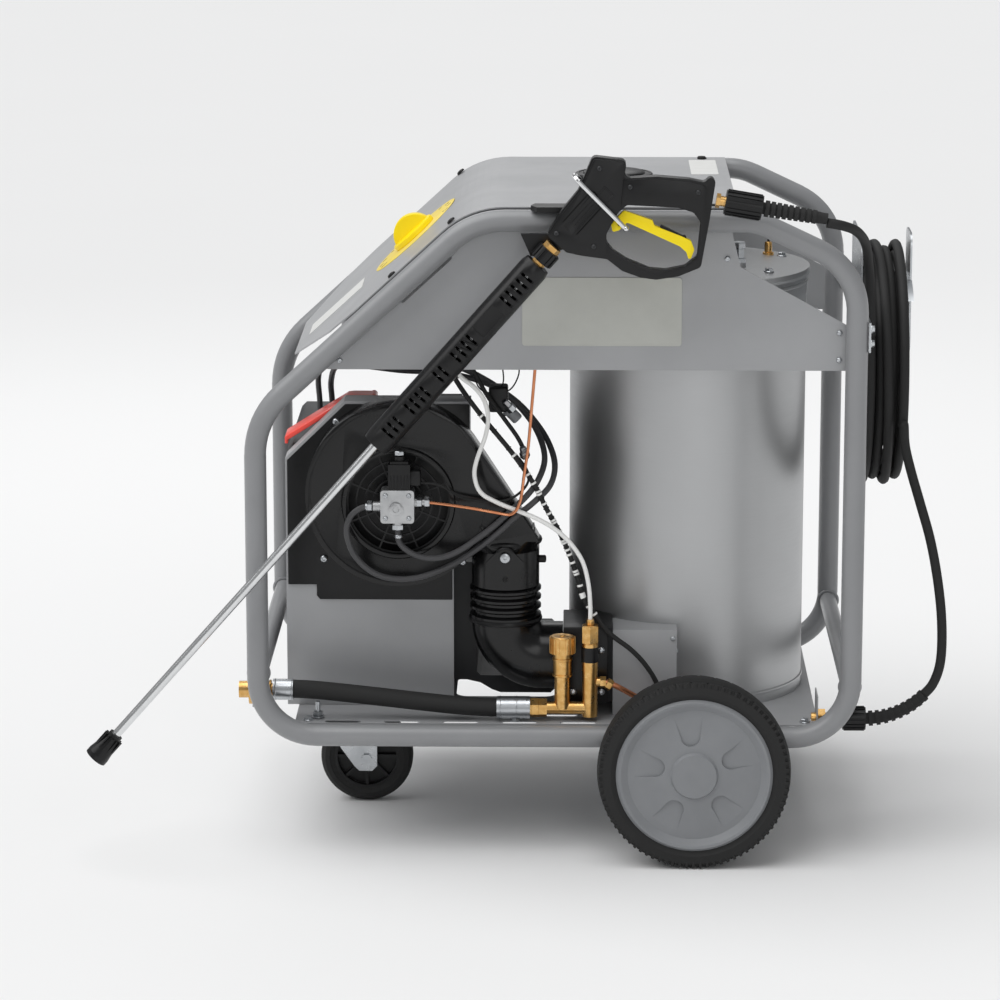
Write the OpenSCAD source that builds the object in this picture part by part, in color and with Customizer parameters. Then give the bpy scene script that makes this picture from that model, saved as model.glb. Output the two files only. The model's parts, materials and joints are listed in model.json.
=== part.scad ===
// Hot water pressure washer in a tube cage: two wheels, a caster, an upright boiler,
// a blower with its fuel pump, a hung trigger gun with lance and a coiled hose.
// Inner layout is centred on the cage; every node is then moved by origin_x.

/* [Cage] */
// Length of the cage between the centrelines of its end posts
cage_len = 920; // [900:10:960]
// Width of the cage between the centrelines of its side loops
cage_wid = 590; // [580:5:620]
// Outer diameter of the cage tube
tube_d = 34; // [32:1:36]
// Height of the bottom rails' centreline above the floor
rail_z = 190; // [185:1:200]
// Height of the top rails' centreline above the bottom rails
loop_h = 810; // [800:5:840]
// Height of the front posts' knee above the bottom rails
front_knee_h = 502; // [495:5:515]
// Height of the rear posts' knee above the bottom rails
rear_knee_h = 737; // [725:5:745]
// Run of the front slope along the length
front_run = 336; // [330:2:345]
// Run of the rear slope along the length
rear_run = 155; // [145:5:165]
// Bend radius of the bottom corners
bend_low = 90; // [80:5:100]
// Diameter of the two cross tubes
cross_d = 28; // [24:1:32]
// Height of the rear cross tube above the bottom rails
cross_h = 78; // [75:1:84]
// Height of the front cross tube above the bottom rails
front_cross_h = 96; // [95:1:104]

/* [Base] */
// Thickness of the base sheet
tray_t = 2; // [1.5:0.5:3]
// Height of the base sheet's top above the bottom rails' centreline
tray_rise = 15; // [14:0.5:16]
// Length of one drain slot
slot_len = 56; // [40:2:62]
// Width of one drain slot
slot_wid = 14; // [8:1:16]
// Distance between two drain slots
slot_pitch = 92; // [80:2:96]

/* [Wheels] */
// Outer diameter of the big wheels
wheel_d = 300; // [290:2:310]
// Width of the big tyres
tyre_wid = 60; // [52:1:64]
// Diameter where the tyre sits on the rim
rim_d = 242; // [230:2:246]
// Diameter of the wheel axle
axle_d = 20; // [18:1:22]
// Length position of the axle from the cage's middle
axle_x = 217; // [205:1:225]
// Gap between the cage tube and the tyre
wheel_gap = 5; // [4:1:8]
// Diameter of the hub cap
cap_d = 77; // [70:1:84]
// Number of pockets in a rim
pocket_n = 5; // [4:1:7]
// Number of shoulder lugs of a tyre
lug_n = 36; // [24:2:44]

/* [Caster] */
// Diameter of the caster wheel
caster_d = 150; // [146:1:152]
// Width of the caster wheel
caster_wid = 38; // [34:1:42]
// Length position of the swivel axis
swivel_x = -350; // [-355:1:-345]
// Trail of the caster wheel behind the swivel axis
caster_trail = 44; // [38:1:48]
// Diameter of the caster's axle bolt
caster_bolt_d = 10; // [8:1:12]

/* [Boiler] */
// Outer diameter of the boiler jacket
boiler_d = 376; // [360:2:380]
// Height of the boiler jacket
boiler_h = 680; // [660:5:690]
// Length position of the boiler's axis
boiler_x = 211; // [208:1:214]
// Wall of the boiler jacket
boiler_wall = 2; // [1.5:0.5:3]
// Diameter of the water tube in the boiler
coil_tube_d = 27; // [22:1:30]
// Number of turns of the water tube
coil_turns = 16; // [8:1:18]

/* [Blower] */
// Radius of the blower's round front
volute_r = 145; // [138:1:148]
// Length position of the fan's axis
fan_x = -243; // [-246:1:-240]
// Height of the fan's axis
fan_z = 547; // [544:1:550]
// Radius of the fan's air intake
intake_r = 84; // [76:1:90]
// Depth of the blower housing
volute_depth = 58; // [52:1:62]
// Number of blades of the fan
blade_n = 24; // [12:1:30]
// Diameter of the air duct
duct_d = 106; // [100:1:110]
// Number of bellows of the air duct
bellow_n = 4; // [3:1:5]

/* [Panels] */
// Thickness of the cover and side sheets
sheet_t = 2; // [1.5:0.5:2.5]
// Height of the side panels' lower edge
panel_z = 767; // [760:1:775]
// Diameter of the turning knob
knob_d = 78; // [70:1:84]
// Height of the turning knob's grip
knob_h = 26; // [20:1:30]

/* [Gun and lance] */
// Distance of the gun and lance in front of the near loop
gun_out = 54; // [52:1:56]
// Thickness of the gun
gun_t = 36; // [34:1:38]
// Angle of the lance to the floor
lance_a = 48.6; // [47.5:0.1:49.5]
// Length of the lance's handle
grip_len = 371; // [350:1:380]
// Diameter of the lance's handle
grip_d = 46; // [42:1:48]
// Diameter of the lance's steel tube
lance_d = 14; // [12:1:16]
// Length of the lance's steel tube that shows
lance_len = 612; // [560:2:620]
// Travel of the trigger at its pivot, in degrees
trigger_travel = 10; // [6:1:11]

/* [Hose] */
// Outer diameter of the high pressure hose
hose_d = 15; // [13:0.5:16]
// Distance between two columns of loops
loop_pitch = 17.5; // [17.2:0.1:18]
// Height of a loop, to the hose's centre
loop_high = 384; // [370:2:400]
// Width of a loop, to the hose's centre
loop_wide = 420; // [400:2:430]

/* [Hidden] */
$fn = 64;
eps = 0.01;
fit = 0.05;
// The loops lie in pairs of an inner and an outer run, so their number is fixed
hose_loops = 8;
// A tube gets this much thinner in its bends, and its straights run this far into them
thinned = 0.4;
lap = 1;
seam = 0.4;

paint_grey = "#8b8c8e";
sheet_grey = "#9a9b9d";
plastic_black = "#232325";
rubber_black = "#1b1b1c";
brass_tone = "#c9973f";
copper_tone = "#c8784e";
zinc_tone = "#c9cbcd";
steel_tone = "#b4b6b8";
signal_yellow = "#f6df10";
signal_red = "#e4352b";

// Places that several pieces share, worked out from the driving sizes
rail_y = cage_wid / 2;
tube_r = tube_d / 2;
post_x = cage_len / 2;
inner_y = rail_y - tube_r;
top_z = rail_z + loop_h;
tray_z = rail_z + tray_rise;
wheel_z = wheel_d / 2;
wheel_y = rail_y + tube_r + wheel_gap + tyre_wid / 2;
boiler_r = boiler_d / 2;
boiler_top = tray_z + boiler_h;
gun_y = -rail_y - gun_out;
slope_a = atan((loop_h - front_knee_h) / front_run);
front_cross_z = rail_z + front_cross_h;

// Water inlet, beside the low front corner
water_y = -252;
inlet_z = 252;
neck_d = 20;
thread_d = 26.4;
thread_x = -493;
flange_x = thread_x + 22;

// Corners of a side loop, from the low front corner round over the top
loop_points = [
    [-post_x, rail_z],
    [-post_x, rail_z + front_knee_h],
    [-post_x + front_run, top_z],
    [post_x - rear_run, top_z],
    [post_x, rail_z + rear_knee_h],
    [post_x, rail_z]
];
loop_bends = [bend_low, 130, 120, 100, 105, bend_low];

// Lance: the handle starts at the gun's muzzle and the rest follows in one line
lance_dir = [-cos(lance_a), -sin(lance_a)];
muzzle = [-1, 971];
nut_len = 38;
grip_start = muzzle + lance_dir * nut_len;
grip_end = grip_start + lance_dir * grip_len;
nozzle_len = 50;
nozzle_d = 36;
nozzle_start = grip_end + lance_dir * lance_len;
nozzle_end = nozzle_start + lance_dir * nozzle_len;
rack_plate_x = post_x + tube_r;
loop_x = rack_plate_x + 11;
loop_columns = hose_loops / 2;
rack_end_x = loop_x + (loop_columns - 1) * loop_pitch + hose_d / 2 + 14;
lance_tip_x = nozzle_end.x - nozzle_d / 2 * sin(lance_a);
origin_x = -(rack_end_x + lance_tip_x) / 2;

// Turns a drawing in X and Y to stand in X and Z, at depth y, with thickness t to the back
module upright(y, t) {
    translate([0, y + t, 0]) rotate([90, 0, 0]) linear_extrude(t) children();
}

// Rod along Y from the front end at y
module rod_y(x, y, z, d, len) {
    translate([x, y + len, z]) rotate([90, 0, 0]) cylinder(h = len, d = d);
}

module rod_x(x, y, z, d, len) {
    translate([x, y, z]) rotate([0, 90, 0]) cylinder(h = len, d = d);
}

module rod_z(x, y, z, d, len) {
    translate([x, y, z]) cylinder(h = len, d = d);
}

// Cylinder between two points, whose far end may have another diameter
module rod_between(a, b, d1, d2 = undef) {
    v = b - a;
    len = norm(v);
    translate(a) rotate([0, acos(v.z / len), atan2(v.y, v.x)])
        cylinder(h = len, d1 = d1, d2 = is_undef(d2) ? d1 : d2);
}

module rounded_rect(size, r) {
    x = size.x / 2 - r;
    y = size.y / 2 - r;
    union() {
        square([size.x, size.y - 2 * r], center = true);
        square([size.x - 2 * r, size.y], center = true);
        for (i = [-1, 1], j = [-1, 1]) translate([i * x, j * y]) circle(r);
    }
}

module oblong(len, wid) {
    union() {
        square([len - wid, wid], center = true);
        for (i = [-1, 1]) translate([i * (len - wid) / 2, 0]) circle(d = wid);
    }
}

// Bent tube in X and Z: unit directions, turns and tangent lengths at its corners
function unit(v) = v / norm(v);
function turn_at(p, q, r) = acos(min(1, max(-1, unit(q - p) * unit(r - q))));
function tangent_at(p, q, r, rad) = rad * tan(turn_at(p, q, r) / 2);
function side_at(p, q, r) = sign((q - p).x * (r - q).y - (q - p).y * (r - q).x);

module bend_at(p, q, r, rad, d) {
    a = unit(p - q);
    b = unit(r - q);
    turn = turn_at(p, q, r);
    centre = q + unit(a + b) * rad / cos(turn / 2);
    from_pt = side_at(p, q, r) < 0 ? q + b * tangent_at(p, q, r, rad) : q + a * tangent_at(p, q, r, rad);
    start = from_pt - centre;
    translate(centre) rotate([0, 0, atan2(start.y, start.x)])
        rotate_extrude(angle = turn) translate([rad, 0]) circle(d = d);
}

module straight_at(a, b, d) {
    v = b - a;
    translate(a) rotate([0, 0, atan2(v.y, v.x)]) rotate([0, 90, 0]) cylinder(h = norm(v), d = d);
}

module closed_tube(points, bends, d) {
    n = len(points);
    for (i = [0:n - 1]) {
        p = points[(i + n - 1) % n];
        q = points[i];
        r = points[(i + 1) % n];
        s = points[(i + 2) % n];
        bend_at(p, q, r, bends[i], d - thinned);
        straight_at(
            q + unit(r - q) * (tangent_at(p, q, r, bends[i]) - lap),
            r - unit(r - q) * (tangent_at(q, r, s, bends[(i + 1) % n]) - lap), d);
    }
}

// Open bent tube in three dimensions, for pipes and hoses that lie in no one plane
function vec_angle(a, b) = acos(min(1, max(-1, unit(a) * unit(b))));
function smooth(points, steps) = [
    for (i = [0:len(points) - 2], k = [0:steps - 1])
        spline_at(
            points[max(i - 1, 0)], points[i], points[i + 1],
            points[min(i + 2, len(points) - 1)], k / steps),
    points[len(points) - 1]
];
function spline_at(a, b, c, d, t) =
    0.5 * (2 * b + (c - a) * t + (2 * a - 5 * b + 4 * c - d) * t * t
        + (3 * b - a - 3 * c + d) * t * t * t);
function heading(path, i) =
    unit(path[min(i + 1, len(path) - 1)] - path[max(i - 1, 0)]);
function carried(path, i, prev) = let (t = heading(path, i)) unit(prev - t * (prev * t));
function frames(path, i, prev) =
    i >= len(path) ? [] : let (n = carried(path, i, prev)) concat([n], frames(path, i + 1, n));
function ring_at(path, normals, i, r, sides) = let (t = heading(path, i), u = normals[i], w = cross(t, u))
    [for (k = [0:sides - 1]) path[i] + r * (cos(360 * k / sides) * u + sin(360 * k / sides) * w)];

// One tube swept along a list of places, closed at both ends, with triangles for faces
module swept(path, d, sides, first_normal) {
    n = len(path);
    normals = frames(path, 0, first_normal);
    rings = [for (i = [0:n - 1]) each ring_at(path, normals, i, d / 2, sides)];
    walls = [for (i = [0:n - 2], k = [0:sides - 1])
        let (a = i * sides + k, b = i * sides + (k + 1) % sides)
        each [[a, b + sides, b], [a, a + sides, b + sides]]];
    ends = [for (k = [1:sides - 2]) each [[0, k, k + 1],
        [(n - 1) * sides, (n - 1) * sides + k + 1, (n - 1) * sides + k]]];
    polyhedron(concat(rings), concat(walls, ends));
}

module at_origin() {
    translate([origin_x, 0, 0]) children();
}

// ---- Cage ----

module side_frame(side) {
    lug_wid = 44;
    lug_t = 8;
    color(paint_grey) at_origin() difference() {
        union() {
            translate([0, side * rail_y, 0]) rotate([90, 0, 0]) closed_tube(loop_points, loop_bends, tube_d);
            translate([0, side * rail_y, 0]) axle_lug(lug_wid, lug_t);
        }
        rod_y(axle_x, side * rail_y - tube_d, wheel_z, axle_d + 2 * fit, 2 * tube_d);
    }
}

// Plate under the bottom rail that carries the axle
module axle_lug(wid, t) {
    upright(-t / 2, t) union() {
        translate([axle_x - wid / 2, wheel_z]) square([wid, rail_z - wheel_z]);
        translate([axle_x, wheel_z]) circle(d = wid);
    }
}

module side_frame_left() {
    side_frame(-1);
}

module side_frame_right() {
    side_frame(1);
}

module cross_tubes() {
    tab_t = 4;
    color(paint_grey) at_origin() difference() {
        union() {
            rod_y(-post_x, -rail_y, rail_z + front_cross_h, cross_d, 2 * rail_y);
            rod_y(post_x, -rail_y, rail_z + cross_h, cross_d, 2 * rail_y);
            // Tab that carries the water inlet
            translate([flange_x + seam, 1 - inner_y, inlet_z - 22])
                cube([tab_t, 48, front_cross_z - inlet_z + 22]);
        }
        for (end = [-1, 1], side = [-1, 1])
            translate([0, side * rail_y, 0]) rotate([90, 0, 0]) {
                straight_at([end * post_x, rail_z], [end * post_x, top_z], tube_d);
                bend_at([0, rail_z], [end * post_x, rail_z], [end * post_x, top_z], bend_low, tube_d);
            }
        rod_x(flange_x, water_y, inlet_z, neck_d + 2 * fit, 12);
    }
}

// ---- Base ----

module base_tray() {
    front = -405;
    rear = 412;
    edge_y = inner_y - seam;
    flange_h = 18;
    channel_x = swivel_x;
    channel_wid = 110;
    color(paint_grey) at_origin() difference() {
        union() {
            translate([front, -edge_y, tray_z - tray_t]) cube([rear - front, 2 * edge_y, tray_t]);
            for (side = [-1, 1])
                translate([front + 45, side < 0 ? -edge_y : edge_y - tray_t, tray_z - flange_h])
                    cube([rear - front - 90, tray_t, flange_h]);
            translate([channel_x - channel_wid / 2, -edge_y, tray_z - tray_rise])
                cube([channel_wid, 2 * edge_y, tray_rise]);
            rear_flange(rear);
        }
        translate([channel_x - channel_wid / 2 + tray_t, -edge_y + tray_t, tray_z - tray_rise + tray_t])
            cube([channel_wid - 2 * tray_t, 2 * edge_y - 2 * tray_t, tray_rise - 2 * tray_t]);
        translate([0, 0, tray_z - tray_t]) tray_cuts();
        outlet_hole(rear);
    }
}

// Upturned plate at the rear near corner that holds the outlet fitting
module rear_flange(rear) {
    translate([rear - tray_t, outlet_y - 28, tray_z - tray_t]) cube([tray_t, 56, 46]);
}

module outlet_hole(rear) {
    rod_x(rear - 10, outlet_y, outlet_z, nipple_d + 2 * fit, 20);
}

module tray_cuts() {
    slot_y = inner_y - 10;
    depth = tray_t + 2;
    for (side = [-1, 1], i = [-4:0]) translate([38 + i * slot_pitch, side * slot_y, -1])
        linear_extrude(depth) oblong(slot_len, slot_wid);
    for (side = [-1, 1], i = [-1, 0]) translate([9 + i * slot_pitch, side * (slot_y - 43), -1])
        linear_extrude(depth) oblong(slot_len, slot_wid);
    translate([-77, -55, -1]) linear_extrude(depth) rounded_rect([160, 120], 20);
}

module axle() {
    reach = wheel_y + tyre_wid / 2 - 16;
    color(zinc_tone) at_origin() rod_y(axle_x, -reach, wheel_z, axle_d, 2 * reach);
}

// ---- Wheels ----

// Cross section of the tyre, as radius and place across, with a crowned tread
function tyre_outline() = let (w = tyre_wid / 2, r = wheel_d / 2, i = rim_d / 2)
    [[i, -w + 4], [i + 8, -w], [r - 9, -w + 1], [r - 3, -w + 7],
     each [for (k = [-3:3]) [r - k * k * 0.33, k * (w - 7) / 3.4]],
     [r - 3, w - 7], [r - 9, w - 1], [i + 8, w], [i, w - 4]];

module tyre(side) {
    color(rubber_black) at_origin() translate([axle_x, side * wheel_y, wheel_z]) rotate([90, 0, 0])
        difference() {
            rotate_extrude() polygon(tyre_outline());
            for (i = [0:lug_n - 1], end = [-1, 1])
                rotate([0, 0, (i + end / 4) * 360 / lug_n])
                    translate([wheel_d / 2 - 4, -2, end < 0 ? -tyre_wid / 2 - 1 : tyre_wid / 2 - 11])
                        cube([10, 4, 12]);
        }
}

// Rim: dished disc with a centre hub, U shaped pockets and a cap that stands on the hub
module rim(side) {
    w = tyre_wid / 2;
    r = rim_d / 2 - fit;
    hub_r = 30;
    face = w - 2;
    color(sheet_grey) at_origin() translate([axle_x, side * wheel_y, wheel_z]) rotate([side * -90, 0, 0])
        difference() {
            union() {
                rotate_extrude() polygon([
                    [0, face - 12], [hub_r, face - 12], [r - 12, face - 15], [r - 12, 8 - w], [r, 4 - w],
                    [r, w - 4], [r - 4, w], [r - 8, w - 1], [r - 18, face - 6],
                    [cap_d / 2 + 4, face], [0, face]
                ]);
                cylinder(h = 2 * w - 6, r = hub_r - 6, center = true);
                translate([0, 0, face - eps]) cylinder(h = 5, d1 = cap_d - 3, d2 = cap_d - 9);
            }
            translate([0, 0, -w - 1]) cylinder(h = 2 * w - 13, d = axle_d + 2 * fit);
            for (i = [0:pocket_n - 1]) rotate([0, 0, 90 + i * 360 / pocket_n + 6]) rim_pocket(face);
        }
}

module rim_pocket(face) {
    out = rim_d / 2 - 22;
    translate([0, 0, face - 5]) linear_extrude(12) union() {
        translate([62, 0]) circle(r = 15);
        polygon([[62, -15], [out, -24], [out, 24], [62, 15]]);
    }
}

module tyre_left() {
    tyre(-1);
}

module rim_left() {
    rim(-1);
}

module tyre_right() {
    tyre(1);
}

module rim_right() {
    rim(1);
}

// ---- Caster ----

crown_z = caster_d + 8;
plate_t = 4;
caster_top = tray_z - tray_rise;
leg_y = caster_wid / 2 + 4;
caster_x = swivel_x + caster_trail;

module caster_plate() {
    race_z = crown_z + plate_t + 6 + seam;
    color(zinc_tone) at_origin() union() {
        translate([swivel_x, 0, caster_top - plate_t / 2]) cube([105, 85, plate_t], center = true);
        rod_z(swivel_x, 0, race_z, 30, caster_top - plate_t - race_z + eps);
        rod_z(swivel_x, 0, crown_z + plate_t + seam, 12, caster_top - crown_z - 2 * plate_t);
    }
}

module caster_fork() {
    low_z = caster_d / 2 - 21;
    color(zinc_tone) at_origin() union() {
        for (side = [-1, 1]) upright(side < 0 ? -leg_y - plate_t : leg_y, plate_t) difference() {
            polygon([
                [caster_x + 17, low_z + 8], [caster_x + 17, crown_z + plate_t],
                [swivel_x - 34, crown_z + plate_t], [swivel_x - 34, crown_z - 14],
                [caster_x - 20, low_z + 8], [caster_x - 12, low_z], [caster_x + 9, low_z]
            ]);
            translate([caster_x, caster_d / 2]) circle(d = caster_bolt_d - 2);
        }
        translate([swivel_x - 34, -leg_y, crown_z])
            cube([caster_x + 17 - swivel_x + 34, 2 * leg_y, plate_t]);
        rod_y(caster_x, -leg_y - plate_t, caster_d / 2, caster_bolt_d, 2 * (leg_y + plate_t));
        for (end = [-1, 1]) translate([caster_x, end * (leg_y + plate_t + 2), caster_d / 2])
            rotate([90, 0, 0]) cylinder(h = 6, d = 17, center = true, $fn = 6);
    }
}

module caster_core() {
    r = caster_d / 2 - 22;
    color(plastic_black) at_origin() translate([caster_x, 0, caster_d / 2]) rotate([90, 0, 0])
        difference() {
            union() {
                cylinder(h = caster_wid + 4, r = 14, center = true);
                cylinder(h = 6, r = r - 2, center = true);
                difference() {
                    cylinder(h = caster_wid - 6, r = r, center = true);
                    cylinder(h = caster_wid, r = r - 5, center = true);
                }
                for (i = [0:7]) rotate([0, 0, i * 45]) translate([r / 2, 0, 0])
                    cube([r - 3, 5, caster_wid - 12], center = true);
            }
            cylinder(h = caster_wid + 10, d = caster_bolt_d + 2 * fit, center = true);
        }
}

module caster_tyre() {
    w = caster_wid / 2;
    r = caster_d / 2;
    i = r - 22;
    color(rubber_black) at_origin() translate([caster_x, 0, r]) rotate([90, 0, 0])
        rotate_extrude() polygon([
            [i, 3 - w], [i + 6, 1 - w], [i + 8, -w], [r - 7, 1 - w], [r - 2, 6 - w], [r, 11 - w],
            [r, w - 11], [r - 2, w - 6], [r - 7, w - 1], [i + 8, w], [i + 6, w - 1], [i, w - 3]
        ]);
}

// ---- Panels ----

// Line beside an open path at distance off to its left, with its corners as arcs
function beside(p, q, off) = let (u = unit(q - p)) [-u.y, u.x] * off;
function arc_beside(p, q, r, rad, off, n) = let (
        a = unit(p - q), b = unit(r - q), turn = turn_at(p, q, r),
        centre = q + unit(a + b) * rad / cos(turn / 2),
        start = q + a * tangent_at(p, q, r, rad) - centre, from_a = atan2(start.y, start.x))
    [for (k = [0:n]) centre + (rad + off) * [cos(from_a - turn * k / n), sin(from_a - turn * k / n)]];
function line_beside(points, rad, off) = concat(
    [points[0] + beside(points[0], points[1], off)],
    arc_beside(points[0], points[1], points[2], rad, off, 8),
    [points[2] + beside(points[1], points[2], off)]);
function reversed(list) = [for (i = [len(list) - 1:-1:0]) list[i]];
function on_slope(x) = [x, rail_z + front_knee_h + (x + post_x) * tan(slope_a)];

cover_low_x = -395;
cover_end_x = 277;
cover_y = rail_y - 10.5;
cover_lift = tube_r + 0.5;
cover_path = [on_slope(cover_low_x), loop_points[2], [cover_end_x, top_z]];
knob_x = -209;
knob_y = -26;
shaft_d = 8;

// Places a child on the front slope, with Z along its outward normal
module slope_at(x, y, lift) {
    at = on_slope(x);
    translate([at.x, y, at.y]) rotate([0, -slope_a, 0]) translate([0, 0, lift]) children();
}

module path_sheet(low, high) {
    rad = loop_bends[2];
    polygon(concat(line_beside(cover_path, rad, high), reversed(line_beside(cover_path, rad, low))));
}

module top_cover() {
    flange_y = inner_y - 2 * (sheet_t + seam);
    color(sheet_grey) at_origin() difference() {
        intersection() {
            union() {
                upright(-cover_y, 2 * cover_y) path_sheet(cover_lift, cover_lift + sheet_t);
                for (side = [-1, 1]) upright(side < 0 ? -flange_y : flange_y - sheet_t, sheet_t)
                    path_sheet(tube_r - 14, cover_lift + eps);
            }
            translate([0, 0, rail_z]) linear_extrude(loop_h * 2) polygon([
                [-430, -100], [-345, -262], [-300, -cover_y], [cover_end_x, -cover_y],
                [cover_end_x, cover_y], [-300, cover_y], [-345, 262], [-430, 100]
            ]);
        }
        slope_at(knob_x, knob_y, 0) cylinder(h = 60, d = shaft_d + 2 * fit);
    }
}

module control_knob() {
    base_h = 9;
    ridge_w = 20;
    lift = cover_lift + sheet_t + 0.6;
    color(signal_yellow) at_origin() slope_at(knob_x, knob_y, lift) union() {
        cylinder(h = base_h, d1 = knob_d, d2 = knob_d - 4);
        difference() {
            cylinder(h = knob_h, d1 = knob_d - 12, d2 = knob_d - 16);
            for (side = [-1, 1]) translate([side * (ridge_w / 2 + knob_d / 2), 0, base_h + knob_h])
                cube([knob_d, knob_d, 2 * knob_h], center = true);
        }
        translate([0, 0, -24]) cylinder(h = 24 + eps, d = shaft_d);
    }
}

// Side sheet, with the slot beside the front slope
module side_panel(side) {
    rear_x = 445;
    step_z = panel_z + 71;
    shoulder = [282, panel_z + 160];
    neck_x = 266;
    low_x = on_slope(0).x - post_x + (panel_z - rail_z - front_knee_h) / tan(slope_a);
    path = [on_slope(low_x + 8), loop_points[2], [neck_x, top_z]];
    top = line_beside(path, loop_bends[2], -8);
    at_y = inner_y - seam;
    color(sheet_grey) at_origin() upright(side < 0 ? -at_y : at_y - sheet_t, sheet_t) difference() {
        polygon(concat([[low_x + 34, panel_z]], top, [shoulder, [rear_x, step_z], [rear_x, panel_z]]));
        translate([-210, on_slope(-210).y] + [0.676, -0.737] * (tube_r + 3))
            rotate([0, 0, slope_a]) oblong(104, 6);
    }
}

module side_panel_left() {
    side_panel(-1);
}

module side_panel_right() {
    side_panel(1);
}

// ---- Boiler and burner ----

module boiler_shell() {
    color(steel_tone) at_origin() translate([boiler_x, 0, tray_z]) difference() {
        cylinder(h = boiler_h, d = boiler_d);
        translate([0, 0, 3]) cylinder(h = boiler_h, d = boiler_d - 2 * boiler_wall);
    }
}

// Lid with a rolled rim, a shallow cone and the flue's collar
module boiler_lid() {
    collar_r = 62;
    color(steel_tone) at_origin() translate([boiler_x, 0, boiler_top]) union() {
        rotate_extrude() polygon([
            [collar_r, 12], [boiler_r - 8, 0.2], [boiler_r + 0.4, 0.2], [boiler_r + 0.4, -9],
            [boiler_r + 4, -9], [boiler_r + 5, -4], [boiler_r + 4, 3], [boiler_r - 6, 4],
            [collar_r + 3, 16], [collar_r + 3, 30], [collar_r, 30]
        ]);
        translate([75, -95, 6]) cylinder(h = 22, d = 16);
        translate([75, -95, 12]) cylinder(h = 9, d = 24, $fn = 6);
    }
}

// Close wound water tube, drawn as a sleeve with a scallop for each turn
module heating_coil() {
    coil_r = 148;
    base = 88;
    pitch = coil_tube_d - 1;
    color(steel_tone) at_origin() translate([boiler_x, 0, tray_z + base]) union() {
        rotate_extrude() for (i = [0:coil_turns - 1])
            translate([coil_r, i * pitch]) circle(d = coil_tube_d);
        translate([0, -coil_r, -base + 3]) cylinder(h = base, d = 20);
        translate([0, coil_r, -base + 3]) cylinder(h = base, d = 20);
    }
}

burner_y = -225;
module burner_box() {
    color(sheet_grey) at_origin() difference() {
        translate([92, burner_y, tray_z + seam]) cube([100, 140, 138]);
        translate([92 + sheet_t, burner_y + sheet_t, tray_z - 1]) cube([100 - 2 * sheet_t, 140, 137]);
        rod_z(boiler_x, 0, 0, boiler_d + 2 * seam, 2000);
    }
}

module burner_flange() {
    color(plastic_black) at_origin() difference() {
        translate([0, 0, 228]) linear_extrude(122) polygon([
            [14, -236], [84, -236], [92 - seam, -226], [92 - seam, -120], [14, -120]
        ]);
        rod_z(boiler_x, 0, 0, boiler_d + 2 * seam, 2000);
        rod_x(0, duct_y, elbow_z, duct_d - 12, 50);
    }
}

// ---- Blower ----

board_y = -170;
duct_x = -77;
duct_y = -180;
duct_wall = 7;
elbow_r = 58;
elbow_top = 350;
elbow_z = elbow_top - elbow_r;
bellow_top = 408;
neck_z = 466;
volute_front = board_y - 4 - volute_depth;

// Outline of the grey sheet: a foot, a plate with a cut corner
module board_outline() {
    polygon([
        [-423, tray_z + seam], [-159, tray_z + seam], [-159, 480], [-132, 480], [-132, 696],
        [-330, 696], [-423, 605]
    ]);
}

module blower_bracket() {
    deep = 50;
    color(sheet_grey) at_origin() difference() {
        union() {
            upright(board_y, sheet_t) board_outline();
            translate([-330, board_y, 696 - sheet_t]) cube([198, deep, sheet_t]);
            translate([-423, board_y, tray_z + seam]) cube([sheet_t, deep, 605 - tray_z - seam]);
            upright(board_y, deep) polygon([[-423, 605], [-330, 696], [-330, 693], [-421, 604]]);
            translate([-400, board_y, tray_z + seam]) cube([220, 40, sheet_t]);
            // Lug and pin of the flap
            translate([flap_pin.x - 7, board_y + deep - 4, flap_pin.y - 6])
                cube([14, 4, 696 - flap_pin.y + 6]);
            rod_y(flap_pin.x, board_y + deep - 2, flap_pin.y, flap_pin_d, flap_depth + 6);
        }
        rod_y(fan_x, board_y - 5, fan_z, 40, 20);
    }
}

module blower_plate() {
    color(plastic_black) at_origin() difference() {
        upright(board_y - 3.6, 3.2) difference() {
            polygon([
                [-375, 402], [-375, 384], [-370, 378], [-161, 378], [-161, 478], [-134, 478],
                [-134, 692], [-328, 692], [-420, 602], [-420, 402]
            ]);
            translate([fan_x, fan_z]) circle(d = 44);
        }
    }
}

// Scroll outline: the round front, and a straight flank down to the duct
outlet_low = 486;
outlet_corner = [duct_x + duct_d / 2 - 6, 497];
scroll_mid = [fan_x, fan_z + 12];
module volute_outline() {
    reach = outlet_corner - scroll_mid;
    lean = atan2(reach.y, reach.x) + acos(volute_r / norm(reach));
    union() {
        translate(scroll_mid) circle(volute_r);
        polygon([
            [duct_x - duct_d / 2, outlet_low], [duct_x + duct_d / 2, outlet_low], outlet_corner,
            scroll_mid + volute_r * [cos(lean), sin(lean)], scroll_mid
        ]);
    }
}

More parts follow.
